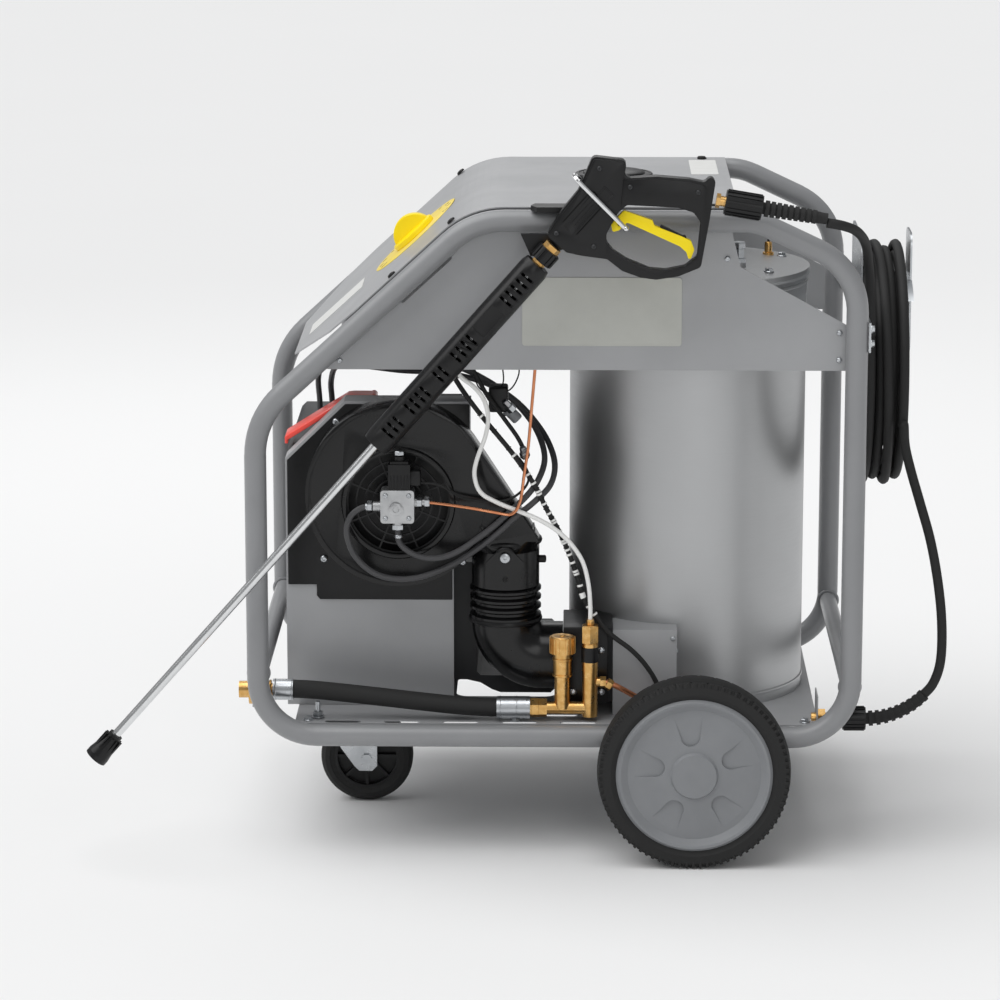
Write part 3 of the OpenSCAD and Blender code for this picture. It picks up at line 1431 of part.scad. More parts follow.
side_frame_left();
side_frame_right();
cross_tubes();
base_tray();
axle();
tyre_left();
rim_left();
tyre_right();
rim_right();
caster_plate();
caster_fork();
caster_core();
caster_tyre();
top_cover();
side_panel_left();
side_panel_right();
control_knob();
boiler_shell();
boiler_lid();
heating_coil();
burner_box();
burner_flange();
blower_bracket();
blower_plate();
blower_volute();
intake_grille();
blower_fan();
air_duct();
duct_elbow();
drive_motor();
high_pressure_pump();
fuel_pump();
solenoid_coil();
fuel_tank();
fuel_flap();
water_inlet();
inlet_hose();
hose_ferrules();
brass_manifold();
safety_valve();
flow_sensor();
copper_pipes();
fuel_hoses();
white_hose();
cable_conduit();
hose_rack();
hose_nipples();
gun_holder();
gun_body();
trigger();
trigger_lock();
lance_nut();
lance_handle();
lance_tube();
lance_nozzle();
hose_nuts();
hose_boots();
hose_to_gun();
hose_coil();
hose_to_outlet();
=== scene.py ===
"""Dresses the hot water pressure washer: its finishes, its hose and the small parts that a drawing leaves out."""

from __future__ import annotations

import json
import logging
import math
from dataclasses import dataclass
from enum import Enum
from typing import Any, Callable, Iterable, Sequence

import bmesh
import bpy
from mathutils import Matrix, Vector

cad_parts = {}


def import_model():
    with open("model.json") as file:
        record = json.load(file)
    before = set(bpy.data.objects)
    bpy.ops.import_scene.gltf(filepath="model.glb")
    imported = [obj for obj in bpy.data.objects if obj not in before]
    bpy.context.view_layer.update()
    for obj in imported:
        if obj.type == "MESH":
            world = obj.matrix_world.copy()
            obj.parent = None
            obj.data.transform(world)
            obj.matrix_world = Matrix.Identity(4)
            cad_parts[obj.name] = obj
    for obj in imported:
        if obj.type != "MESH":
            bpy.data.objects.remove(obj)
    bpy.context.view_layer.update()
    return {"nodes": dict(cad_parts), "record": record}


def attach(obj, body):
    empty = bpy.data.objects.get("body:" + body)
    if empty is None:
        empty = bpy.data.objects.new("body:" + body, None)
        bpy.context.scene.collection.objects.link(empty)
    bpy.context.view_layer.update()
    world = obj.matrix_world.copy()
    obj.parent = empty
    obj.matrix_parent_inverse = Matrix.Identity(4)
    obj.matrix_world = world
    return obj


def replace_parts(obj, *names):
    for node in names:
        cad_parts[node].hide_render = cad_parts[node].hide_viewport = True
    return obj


LOG = logging.getLogger("washer")
MM = 0.001
# The cage's middle stands this far along X from the middle of the whole machine
CAGE_X = 0.0803835
Point = tuple[float, float, float]


def place(x: float, y: float, z: float) -> Vector:
    """A point given in millimetres from the middle of the cage, in metres in the machine's frame."""
    return Vector((x * MM + CAGE_X, y * MM, z * MM))


def linear(code: str) -> tuple[float, float, float, float]:
    """Turns an sRGB hex colour into linear light.

    Args:
        code: The colour as #rrggbb.

    Returns:
        Red, green, blue and a full alpha.
    """
    parts = [int(code[i : i + 2], 16) / 255 for i in (1, 3, 5)]
    flat = [c / 12.92 if c <= 0.04045 else ((c + 0.055) / 1.055) ** 2.4 for c in parts]
    return flat[0], flat[1], flat[2], 1.0


# ---- Finishes ----


def add_node(
    tree: bpy.types.NodeTree,
    kind: str,
    settings: dict[Any, Any] | None = None,
    links: dict[Any, bpy.types.NodeSocket] | None = None,
) -> bpy.types.Node:
    """Adds one node with its settings and its links.

    Args:
        tree: The tree that gets the node.
        kind: The node's Blender type.
        settings: Values by property name, or by socket name or number.
        links: Output sockets by the name or number of the input that each feeds.

    Returns:
        The new node.
    """
    made = tree.nodes.new(kind)
    for key, value in (settings or {}).items():
        if isinstance(key, str) and hasattr(made, key):
            setattr(made, key, value)
        else:
            made.inputs[key].default_value = value
    for key, socket in (links or {}).items():
        tree.links.new(socket, made.inputs[key])
    return made


class Grain(Enum):
    """How a surface was made, which sets the pattern of its fine relief."""

    SMOOTH = "smooth"
    PEBBLED = "pebbled"
    CAST = "cast"
    BRUSHED_ROUND = "brushed round"


@dataclass(frozen=True)
class Finish:
    """One real material with the way that its surface was made.

    Args:
        name: The material's common name.
        colour: Its colour, as sRGB hex.
        shade: A second colour that drifts in by patches.
        rough: Roughness at the middle of its spread.
        spread: How far the roughness drifts either way.
        metallic: 1 for a bare metal.
        ior: Index of refraction, left at the shader's own for a metal.
        coat: Weight of a clear layer on top.
        gloss: Strength of the surface reflection, 0.5 for a clean skin.
        grain: Pattern of the fine relief.
        grain_mm: Size of one grain.
        relief_mm: Height of the grain.
        patch_mm: Size of the patches of shade.
        fade: Share of the second colour.
    """

    name: str
    colour: str
    shade: str
    rough: float
    spread: float = 0.05
    metallic: float = 0.0
    ior: float = 1.5
    coat: float = 0.0
    gloss: float = 0.5
    grain: Grain = Grain.PEBBLED
    grain_mm: float = 1.2
    relief_mm: float = 0.04
    patch_mm: float = 120.0
    fade: float = 0.5

    def stretch(self) -> Point:
        """How the grain's pattern is drawn out along X, Y and Z."""
        if self.grain is Grain.BRUSHED_ROUND:
            return 0.03, 0.03, 1.0
        return 1.0, 1.0, 1.0

    def build(self) -> bpy.types.Material:
        """Makes the material's nodes, all on Object coordinates.

        Returns:
            The material.
        """
        made = bpy.data.materials.get(self.name)
        if made:
            return made
        made = bpy.data.materials.new(self.name)
        made.use_nodes = True
        tree = made.node_tree
        shader = tree.nodes["Principled BSDF"]
        shader.inputs["Metallic"].default_value = self.metallic
        shader.inputs["IOR"].default_value = self.ior
        shader.inputs["Coat Weight"].default_value = self.coat
        shader.inputs["Coat Roughness"].default_value = 0.12
        shader.inputs["Specular IOR Level"].default_value = self.gloss
        where = add_node(tree, "ShaderNodeTexCoord").outputs["Object"]
        patch = add_node(
            tree,
            "ShaderNodeTexNoise",
            {"Scale": 1 / (self.patch_mm * MM), "Detail": 4.0, "Roughness": 0.55},
            {"Vector": where},
        ).outputs["Fac"]
        soft = add_node(
            tree,
            "ShaderNodeMapRange",
            {"From Min": 0.35, "From Max": 0.65, "To Min": 0.0, "To Max": self.fade},
            {"Value": patch},
        ).outputs["Result"]
        tint = add_node(
            tree,
            "ShaderNodeMix",
            {"data_type": "RGBA", 6: linear(self.colour), 7: linear(self.shade)},
            {0: soft},
        ).outputs[2]
        mapped = add_node(
            tree, "ShaderNodeMapping", {"Scale": self.stretch()}, {"Vector": where}
        ).outputs["Vector"]
        relief = self.relief(tree, mapped)
        rough = add_node(
            tree,
            "ShaderNodeMapRange",
            {
                "From Min": 0.3,
                "From Max": 0.7,
                "To Min": max(0.02, self.rough - self.spread),
                "To Max": min(1.0, self.rough + self.spread),
            },
            {"Value": relief if self.grain is Grain.BRUSHED_ROUND else patch},
        ).outputs["Result"]
        tree.links.new(tint, shader.inputs["Base Color"])
        tree.links.new(rough, shader.inputs["Roughness"])
        if self.grain is not Grain.SMOOTH:
            bump = add_node(
                tree,
                "ShaderNodeBump",
                {"Strength": 0.6, "Distance": self.relief_mm * MM},
                {"Height": relief},
            )
            tree.links.new(bump.outputs["Normal"], shader.inputs["Normal"])
        return made

    def relief(self, tree: bpy.types.NodeTree, mapped: bpy.types.NodeSocket) -> bpy.types.NodeSocket:
        """Adds the pattern of the grain.

        Args:
            tree: The material's tree.
            mapped: The drawn out coordinates.

        Returns:
            The pattern's height, from 0 to 1.
        """
        scale = 1 / (self.grain_mm * MM)
        if self.grain is Grain.PEBBLED:
            return add_node(
                tree,
                "ShaderNodeTexVoronoi",
                {"feature": "SMOOTH_F1", "Scale": scale, "Smoothness": 0.6},
                {"Vector": mapped},
            ).outputs["Distance"]
        detail = 5.0 if self.grain is Grain.CAST else 2.0
        return add_node(
            tree,
            "ShaderNodeTexNoise",
            {"Scale": scale, "Detail": detail, "Roughness": 0.6},
            {"Vector": mapped},
        ).outputs["Fac"]


# Powder coat over steel tube: a faint orange peel and a broad soft sheen
TUBE_PAINT = Finish("powder_coated_tube", "#8f9092", "#858688", 0.38, coat=0.15, grain_mm=2.6, relief_mm=0.05)
# Powder coat over sheet: flatter and a little lighter
SHEET_PAINT = Finish("powder_coated_sheet", "#a4a5a7", "#9a9b9d", 0.42, coat=0.1, grain_mm=2.2, relief_mm=0.04)
# Rolled stainless sheet, whose mill grain blurs what it reflects
MILL_STEEL = Finish(
    "brushed_stainless", "#bcbdbe", "#b3b4b5", 0.44, spread=0.04, metallic=0.9, grain=Grain.BRUSHED_ROUND,
    grain_mm=1.4, relief_mm=0.015, patch_mm=260.0, fade=0.4,
)
# Drawn stainless tube, with bright lines along it
DRAWN_STEEL = Finish("drawn_stainless", "#e4e5e6", "#d4d5d6", 0.2, metallic=1.0, grain=Grain.SMOOTH, patch_mm=30.0)
# Zinc plated steel, with a faint bluish bloom
ZINC = Finish("zinc_plated_steel", "#c4c7ca", "#a9adb1", 0.3, metallic=1.0, grain=Grain.CAST, grain_mm=3.0,
              relief_mm=0.01, patch_mm=16.0, fade=0.35)
# Die cast aluminium, with a dull skin
CAST_ALLOY = Finish("die_cast_aluminium", "#c2c3c4", "#9fa1a3", 0.42, metallic=1.0, grain=Grain.CAST,
                    grain_mm=2.5, relief_mm=0.06, patch_mm=18.0, fade=0.4)
# Turned and cast brass, warm and a little dull
BRASS = Finish("turned_brass", "#e2b878", "#cf9c52", 0.3, metallic=1.0, grain=Grain.CAST, grain_mm=2.0,
               relief_mm=0.02, patch_mm=9.0, fade=0.7)
# Drawn copper pipe, already browned by handling
COPPER = Finish("drawn_copper", "#e39a72", "#cc7c54", 0.3, metallic=1.0, grain=Grain.SMOOTH, patch_mm=20.0)
# Rubber of tyres and hoses, matt with a grey bloom
RUBBER = Finish("black_rubber", "#161617", "#202021", 0.62, ior=1.52, gloss=0.3, grain=Grain.CAST, grain_mm=1.0,
                relief_mm=0.05, patch_mm=40.0)
# Glass filled nylon of the gun, the lance grip and the blower's plate and grille: fine spark eroded grain
NYLON = Finish("black_glass_filled_nylon", "#121213", "#19191a", 0.36, spread=0.06, ior=1.53, gloss=0.3, grain_mm=0.9,
               relief_mm=0.05, patch_mm=50.0)
# Smooth moulded polyamide of scroll and duct, which throws soft window highlights
POLYAMIDE = Finish("black_moulded_polyamide", "#0b0b0c", "#111112", 0.24, spread=0.05, ior=1.53, gloss=0.34, coat=0.05,
                   grain=Grain.CAST, grain_mm=7.0, relief_mm=0.12, patch_mm=60.0)
# Grey black rubber of the fuel lines, bloomed by oil
FUEL_RUBBER = Finish("oil_bloomed_rubber", "#3e3e40", "#4a4a4c", 0.5, ior=1.52, grain=Grain.CAST, grain_mm=1.0,
                     relief_mm=0.04, patch_mm=40.0)
# Blow moulded polyethylene of the tank, waxy and softly uneven
POLYETHYLENE = Finish("black_polyethylene", "#2c2d2f", "#36373a", 0.5, ior=1.51, grain=Grain.CAST, grain_mm=9.0,
                      relief_mm=0.25, patch_mm=80.0)
# Talc filled polypropylene of the wheel discs
POLYPROPYLENE = Finish("grey_polypropylene", "#85878a", "#7b7d80", 0.44, ior=1.49, grain_mm=1.1, relief_mm=0.04,
                       patch_mm=60.0)
# Yellow ABS of the controls, glossy from a polished mould
YELLOW_ABS = Finish("yellow_abs", "#ffe600", "#ffdc00", 0.42, ior=1.54, gloss=0.35, grain_mm=1.5, relief_mm=0.01,
                    patch_mm=30.0)
# Red ABS of the fuel flap, with painted light: a lighter, pinker red than its own, standing in for the light that
# falls on it where it lies in the cover's shade
RED_ABS = Finish("red_abs", "#ff5446", "#f6463a", 0.34, ior=1.54, coat=0.2, grain_mm=1.5, relief_mm=0.015,
                 patch_mm=40.0)
# White polyethylene hose, milky
WHITE_HOSE = Finish("white_polyethylene", "#f5f5f3", "#ecece9", 0.38, ior=1.51, grain=Grain.SMOOTH, patch_mm=60.0)
# Enamelled motor, satin black
MOTOR_ENAMEL = Finish("motor_enamel", "#28292b", "#323336", 0.4, coat=0.1, grain=Grain.CAST, grain_mm=3.0,
                      relief_mm=0.05, patch_mm=70.0)
# Bare printed film, left blank
FILM = Finish("blank_film", "#b9bab4", "#b0b1ab", 0.5, grain=Grain.SMOOTH, patch_mm=40.0, fade=0.4)
# Whitish blank label
LABEL = Finish("blank_label", "#dcdcda", "#d2d2cf", 0.5, grain=Grain.SMOOTH, patch_mm=30.0, fade=0.4)
# Yellow printed ring round the dial
DIAL_FILM = Finish("yellow_dial_film", "#f2d860", "#ecd258", 0.42, grain=Grain.SMOOTH, patch_mm=30.0, fade=0.4)
# Dark marks printed on the dial's yellow film
MARKING = Finish("dial_marking", "#4b4a44", "#45443f", 0.5, grain=Grain.SMOOTH, patch_mm=30.0, fade=0.4)
# Studio floor
FLOOR = Finish("studio_floor", "#ededed", "#ededed", 0.9, grain=Grain.SMOOTH, patch_mm=900.0, fade=0.2)


# ---- Modelling helpers ----


def clear_selection() -> None:
    """Leaves nothing selected, because the operators act on all that is."""
    bpy.ops.object.select_all(action="DESELECT")


def active_mesh(name: str) -> bpy.types.Object:
    """Names the primitive that was just added and returns it."""
    made = bpy.context.object
    made.name = name
    made.data.name = name
    return made


def pick(piece: bpy.types.Object, wanted: Callable[[Any], bool], mode: str = "FACE") -> None:
    """Selects faces or edges of a piece by their place, in edit mode.

    Args:
        piece: The mesh object, already in edit mode.
        wanted: Says whether a face or edge is taken.
        mode: FACE or EDGE.
    """
    bpy.ops.mesh.select_mode(type=mode)
    bpy.ops.mesh.select_all(action="DESELECT")
    shape = bmesh.from_edit_mesh(piece.data)
    parts = shape.faces if mode == "FACE" else shape.edges
    for part in parts:
        if wanted(part):
            part.select_set(True)
    bmesh.update_edit_mesh(piece.data)


def settle(
    piece: bpy.types.Object, turn: Matrix | None = None, at: Vector | None = None, smooth: bool = True
) -> bpy.types.Object:
    """Puts a piece's turn and place into its mesh and leaves its object at the origin.

    Args:
        piece: The mesh object, in object mode.
        turn: How it is turned about its own origin.
        at: Where its origin goes.
        smooth: Whether faces that meet at a low angle shade as one.

    Returns:
        The piece.
    """
    for mod in list(piece.modifiers):
        bpy.context.view_layer.objects.active = piece
        bpy.ops.object.modifier_apply(modifier=mod.name)
    if turn is not None:
        piece.data.transform(turn.to_4x4())
    if at is not None:
        piece.data.transform(Matrix.Translation(at))
    if smooth:
        clear_selection()
        piece.select_set(True)
        bpy.context.view_layer.objects.active = piece
        bpy.ops.object.shade_smooth_by_angle(angle=math.radians(35))
    return piece


def aim(direction: Sequence[float]) -> Matrix:
    """The turn that brings +Z onto a direction."""
    return Vector(direction).normalized().to_track_quat("Z", "Y").to_matrix()


def joined(pieces: Sequence[bpy.types.Object], name: str) -> bpy.types.Object:
    """Joins pieces to one under a name."""
    clear_selection()
    for one in pieces:
        one.select_set(True)
    bpy.context.view_layer.objects.active = pieces[0]
    if len(pieces) > 1:
        bpy.ops.object.join()
    made = pieces[0]
    made.name = name
    made.data.name = name
    return made


def copied(piece: bpy.types.Object, turn: Matrix | None, at: Vector) -> bpy.types.Object:
    """A copy of a piece that still lies at the origin, with its own mesh, turned and placed."""
    twin = piece.copy()
    twin.data = piece.data.copy()
    bpy.context.scene.collection.objects.link(twin)
    if turn is not None:
        twin.data.transform(turn.to_4x4())
    twin.data.transform(Matrix.Translation(at))
    return twin


def dress(piece: bpy.types.Object, finish: Finish, body: str = "machine") -> bpy.types.Object:
    """Gives a finished piece its material and the body that it rides on.

    Args:
        piece: The piece.
        finish: Its material.
        body: The body that it moves with.

    Returns:
        The piece.
    """
    piece.data.materials.clear()
    piece.data.materials.append(finish.build())
    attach(piece, body)
    LOG.info("%s rides on %s in %s", piece.name, body, finish.name)
    return piece


# The finish of each CAD node that is seen as it is
NODE_FINISH: dict[str, Finish] = {
    "side_frame_left": TUBE_PAINT, "side_frame_right": TUBE_PAINT, "cross_tubes": TUBE_PAINT,
    "base_tray": SHEET_PAINT, "axle": ZINC, "tyre_left": RUBBER, "rim_left": POLYPROPYLENE,
    "tyre_right": RUBBER, "rim_right": POLYPROPYLENE, "caster_plate": ZINC, "caster_fork": ZINC,
    "caster_core": NYLON, "caster_tyre": RUBBER, "top_cover": SHEET_PAINT, "side_panel_left": SHEET_PAINT,
    "side_panel_right": SHEET_PAINT, "control_knob": YELLOW_ABS, "boiler_shell": MILL_STEEL,
    "boiler_lid": MILL_STEEL, "heating_coil": DRAWN_STEEL, "burner_box": SHEET_PAINT, "burner_flange": NYLON,
    "blower_bracket": SHEET_PAINT, "blower_plate": NYLON, "blower_volute": POLYAMIDE, "intake_grille": NYLON,
    "blower_fan": NYLON, "air_duct": POLYAMIDE, "duct_elbow": POLYAMIDE, "drive_motor": MOTOR_ENAMEL,
    "high_pressure_pump": CAST_ALLOY, "fuel_pump": CAST_ALLOY, "solenoid_coil": NYLON,
    "fuel_tank": POLYETHYLENE, "fuel_flap": RED_ABS, "water_inlet": BRASS, "inlet_hose": RUBBER,
    "hose_ferrules": ZINC, "brass_manifold": BRASS, "safety_valve": BRASS, "flow_sensor": BRASS,
    "copper_pipes": COPPER, "fuel_hoses": FUEL_RUBBER, "white_hose": WHITE_HOSE, "cable_conduit": NYLON,
    "hose_rack": ZINC, "hose_nipples": BRASS, "gun_holder": NYLON, "gun_body": NYLON, "trigger": YELLOW_ABS,
    "trigger_lock": NYLON, "lance_nut": NYLON, "lance_handle": NYLON, "lance_tube": DRAWN_STEEL,
    "lance_nozzle": NYLON, "hose_nuts": NYLON, "hose_boots": RUBBER,
}


# ---- Studio ----


# Width of the camera's sensor, and of the frame that its focal length is given over
SENSOR_MM = 36.0
FRAME_PX = 1000.0


@dataclass
class Studio:
    """Floor, lights and the camera.

    Args:
        focal_px: Focal length of the lens over the frame's 1000 px.
        eye: Camera, in metres.
        ahead: Direction in which it looks.
        up: Its upward direction.
        daylight: Strength of the even light from above.
        reach: Length of the floor's sides.
    """

    focal_px: float = 4057.0
    eye: Point = (0.1064, -6.385, 1.918)
    ahead: Point = (-0.0176, 0.9761, -0.2166)
    up: Point = (-0.0039, 0.2166, 0.9763)
    daylight: float = 2.45
    reach: float = 90.0

    def camera(self) -> None:
        """Makes the camera, with no shift and all in focus."""
        lens = bpy.data.cameras.new("studio_camera")
        lens.sensor_width = SENSOR_MM
        lens.sensor_fit = "HORIZONTAL"
        lens.lens = self.focal_px * SENSOR_MM / FRAME_PX
        lens.clip_end = 60.0
        stand = bpy.data.objects.new("studio_camera", lens)
        bpy.context.scene.collection.objects.link(stand)
        back = -Vector(self.ahead).normalized()
        side = Vector(self.up).cross(back).normalized()
        top = back.cross(side)
        turn = Matrix((side, top, back)).transposed()
        stand.matrix_world = Matrix.Translation(Vector(self.eye)) @ turn.to_4x4()
        bpy.context.scene.camera = stand

    def floor(self) -> None:
        """A wide flat floor that reaches far behind the machine."""
        clear_selection()
        bpy.ops.mesh.primitive_plane_add(size=1, location=(0, 0, 0))
        piece = active_mesh("studio_floor")
        piece.data.transform(Matrix.Diagonal((self.reach, self.reach, 1, 1)))
        piece.data.transform(Matrix.Translation((0, 0, -0.0004)))
        piece.data.materials.append(FLOOR.build())

    def lamp(self, name: str, at: Point, target: Point, size: tuple[float, float], watts: float) -> None:
        """Adds one softbox.

        Args:
            name: Its name.
            at: Where it stands.
            target: What it is aimed at.
            size: Its width and height.
            watts: Its power.
        """
        light = bpy.data.lights.new(name, "AREA")
        light.shape = "RECTANGLE"
        light.size, light.size_y = size
        light.energy = watts
        box = bpy.data.objects.new(name, light)
        bpy.context.scene.collection.objects.link(box)
        look = Vector(target) - Vector(at)
        box.matrix_world = Matrix.Translation(Vector(at)) @ look.to_track_quat("-Z", "Y").to_matrix().to_4x4()

    def build(self) -> None:
        """Makes the whole studio."""
        self.camera()
        self.floor()
        scene = bpy.context.scene
        scene.view_settings.view_transform = "Standard"
        world = bpy.data.worlds.new("studio_world")
        scene.world = world
        world.use_nodes = True
        sky = world.node_tree.nodes["Background"]
        sky.inputs[0].default_value = (0.93, 0.94, 0.95, 1)
        sky.inputs[1].default_value = 0.32
        self.sun()
        self.lamp("front_softbox", (0.9, -4.2, 2.2), (0.1, 0, 0.6), (1.2, 2.4), 16.0)
        self.lamp("back_softbox", (-0.6, 3.4, 2.8), (0, 0, 0.5), (2.4, 1.6), 16.0)

    def sun(self) -> None:
        """Even daylight from above and a little from the left, with very soft shadows."""
        light = bpy.data.lights.new("soft_daylight", "SUN")
        light.energy = self.daylight
        light.angle = math.radians(70)
        high = bpy.data.objects.new("soft_daylight", light)
        bpy.context.scene.collection.objects.link(high)
        high.matrix_world = Vector((0.42, 0.16, -1.0)).to_track_quat("-Z", "Y").to_matrix().to_4x4()


# ---- High pressure hose ----


def spline(points: Sequence[Point], steps: int) -> list[Vector]:
    """A smooth line through points.

    Args:
        points: Where the line passes, in millimetres from the cage's middle.
        steps: How many stretches between two points.

    Returns:
        The line's places, in the same millimetres.
    """
    last = len(points) - 1
    line = []
    for i in range(last):
        a, b, c, d = (Vector(points[max(0, min(last, i + k))]) for k in (-1, 0, 1, 2))
        for k in range(steps):
            t = k / steps
            line.append(
                0.5 * (2 * b + (c - a) * t + (2 * a - 5 * b + 4 * c - d) * t * t + (3 * b - a - 3 * c + d) * t**3)
            )
    line.append(Vector(points[last]))
    return line


def length_of(line: Sequence[Vector]) -> float:
    """Length of a line of places."""
    return sum((b - a).length for a, b in zip(line, line[1:]))


@dataclass
class PressureHose:
    """The rubber hose: down from the gun, round the rack and back to the outlet.

    Args:
        outer_d: Outer diameter of the hose.
        loops: Loops round the rack.
        pitch: Distance between neighbouring loops.
        high: Height of a loop, to the hose's middle.
        wide: Width of a loop.
        first_x: The column nearest the cage.
        mid_z: Height of the loops' middle.
        start: Angle where the coil begins.
        over: Share of a loop past the last full one.
        gun_route: Points from the gun to the coil.
        outlet_route: Points from the outlet to the coil.
    """

    outer_d: float = 15.0
    loops: int = 8
    pitch: float = 17.5
    high: float = 384.0
    wide: float = 420.0
    first_x: float = 488.0
    mid_z: float = 730.0
    start: float = 160.0
    over: float = 35 / 360
    gun_route: tuple[Point, ...] = (
        (408, -349, 1006), (432, -344, 1001), (455, -315, 988), (472, -265, 962), (481, -215, 922),
        (486, -195, 880), (488, -194, 845), (488, -200, 812),
    )
    outlet_route: tuple[Point, ...] = (
        (579, -243, 247), (592, -243, 263), (602, -243, 292), (605, -240, 330), (603, -234, 380),
        (596, -224, 435), (585, -214, 490), (569, -206, 545), (554, -203, 595), (544, -205, 635),
        (541, -210, 668),
    )

    def at(self, turn: float) -> Vector:
        """Place on the coil after so many loops."""
        angle = math.radians(self.start + 360 * turn)
        inward = self.pitch * (2 - abs(min(turn, self.loops) % 4 - 2))
        ramp = sum(min(1.0, max(0.0, (turn - k) * 2 + 0.5)) for k in (2, 4, 6))
        return Vector((
            self.first_x + self.pitch * ramp,
            (self.wide / 2 - inward) * math.cos(angle),
            self.mid_z + (self.high / 2 - inward) * math.sin(angle),
        ))

    def coil(self) -> list[Vector]:
        """Places along the coil, with a straight stretch of one diameter at either end."""
        turns = self.loops + self.over
        count = round(turns * 48)
        line = [self.at(turns * i / count) for i in range(count + 1)]
        ends = []
        for angle in (self.start, self.start + 360 * self.over):
            flat = Vector((0, -math.sin(math.radians(angle)) * self.wide, math.cos(math.radians(angle)) * self.high))
            ends.append(flat.normalized() * self.outer_d)
        return [line[0] - ends[0], *line, line[-1] + ends[1]]

    def tube(
        self, name: str, line: Sequence[Vector],
    ) -> bpy.types.Object:
        """Args:
            name: Name of the piece and of the CAD node under it.
            line: Its places in millimetres.

        Returns:
            The curve object.
        """
        curve = bpy.data.curves.new(name + "_line", "CURVE")
        curve.dimensions = "3D"
        curve.bevel_depth = self.outer_d / 2 * MM
        curve.bevel_resolution = 5
        curve.use_fill_caps = True
        thread = curve.splines.new("POLY")
        thread.points.add(len(line) - 1)
        for knot, at in zip(thread.points, line):
            knot.co = (*place(*at), 1.0)
        piece = bpy.data.objects.new(name + "_rubber", curve)
        bpy.context.scene.collection.objects.link(piece)
        curve.materials.append(RUBBER.build())
        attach(piece, "machine")
        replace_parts(piece, name)
        LOG.info("%s is %.2f m long", name, length_of(line) * MM)
        return piece

    def build(self, nodes: dict[str, bpy.types.Object]) -> None:
        """Makes the three stretches of the hose."""
        coil = self.coil()
        down = spline([*self.gun_route, tuple(coil[0])], 6)
        back = spline([*self.outlet_route, tuple(coil[-1])], 6)
        self.tube("hose_to_gun", down)
        self.tube("hose_coil", coil)
        self.tube("hose_to_outlet", back)


# ---- Shaping ----


def edit(piece: bpy.types.Object) -> None:
    """Opens a piece for editing with all of it selected."""
    clear_selection()
    piece.select_set(True)
    bpy.context.view_layer.objects.active = piece
    bpy.ops.object.mode_set(mode="EDIT")
    bpy.ops.mesh.select_all(action="SELECT")


def close_edit() -> None:
    """Turns all faces outwards and leaves edit mode."""
    bpy.ops.mesh.select_all(action="SELECT")
    bpy.ops.mesh.remove_doubles(threshold=1e-6)
    bpy.ops.mesh.normals_make_consistent(inside=False)
    bpy.ops.object.mode_set(mode="OBJECT")


def stretch(piece: bpy.types.Object, share: Point) -> None:
    """Scales a piece about its own origin.

    Args:
        piece: The mesh object, in object mode.
        share: How much along X, Y and Z.
    """
    edit(piece)
    bpy.ops.transform.resize(value=share, center_override=(0, 0, 0))
    close_edit()


def turned(name: str, profile: Sequence[tuple[float, float]], sides: int = 32) -> bpy.types.Object:
    """A turned piece on the Z axis: a disc that is extruded and scaled from ring to ring.

    Args:
        name: Name of the piece.
        profile: Radius and height of each ring in millimetres, from the foot on.
        sides: Facets round the axis.

    Returns:
        The piece, closed at both ends.
    """
    clear_selection()
    radius, height = profile[0]
    bpy.ops.mesh.primitive_circle_add(vertices=sides, radius=radius * MM, fill_type="NGON")
    piece = active_mesh(name)
    edit(piece)
    bpy.ops.transform.translate(value=(0, 0, height * MM))
    for wide, high in profile[1:]:
        bpy.ops.mesh.extrude_region_move(TRANSFORM_OT_translate={"value": (0, 0, (high - height) * MM)})
        share = wide / radius
        bpy.ops.transform.resize(value=(share, share, 1), center_override=(0, 0, high * MM))
        radius, height = wide, high
    close_edit()
    return piece


def ring(
    name: str, radius: float, thick: float, sides: int = 48, section: int = 8, flat: float = 1.0
) -> bpy.types.Object:
    """A round bead on the XY plane.

    Args:
        name: Name of the piece.
        radius: To the bead's middle.
        thick: Width of the bead.
        sides: Facets round the ring.
        section: Facets round the bead.
        flat: Height of the bead over its width.

    Returns:
        The piece.
    """
    clear_selection()
    bpy.ops.mesh.primitive_torus_add(
        major_radius=radius * MM, minor_radius=thick / 2 * MM, major_segments=sides, minor_segments=section,
    )
    piece = active_mesh(name)
    stretch(piece, (1, 1, flat))
    return piece


def block(name: str, size: Point, edge: float, segments: int = 2) -> bpy.types.Object:
    """A block about its own middle with rounded edges, in millimetres."""
    clear_selection()
    bpy.ops.mesh.primitive_cube_add(size=MM)
    piece = active_mesh(name)
    edit(piece)
    bpy.ops.transform.resize(value=size, center_override=(0, 0, 0))
    bpy.ops.mesh.bevel(offset=edge * MM, segments=segments, affect="EDGES")
    close_edit()
    return piece


def plate(name: str, outline: Sequence[tuple[float, float]], thick: float, edge: float = 0.0) -> bpy.types.Object:
    """A plate on the XY plane, its rim softened: a disc whose corners are moved to an outline and extruded.

    Args:
        name: Name of the piece.
        outline: Its corners in millimetres.
        thick: Its thickness, upwards.
        edge: Width of the softened rim on top.

    Returns:
        The piece.
    """
    clear_selection()
    bpy.ops.mesh.primitive_circle_add(vertices=len(outline), radius=MM, fill_type="NGON")
    piece = active_mesh(name)
    edit(piece)
    shape = bmesh.from_edit_mesh(piece.data)
    shape.verts.ensure_lookup_table()
    for corner, (x, y) in zip(shape.verts, outline):
        corner.co = Vector((x, y, 0)) * MM
    bmesh.update_edit_mesh(piece.data)
    bpy.ops.mesh.extrude_region_move(TRANSFORM_OT_translate={"value": (0, 0, (thick - edge) * MM)})
    if edge:
        bpy.ops.mesh.inset(thickness=edge * MM, depth=0)
        bpy.ops.transform.translate(value=(0, 0, edge * MM))
    close_edit()
    return piece


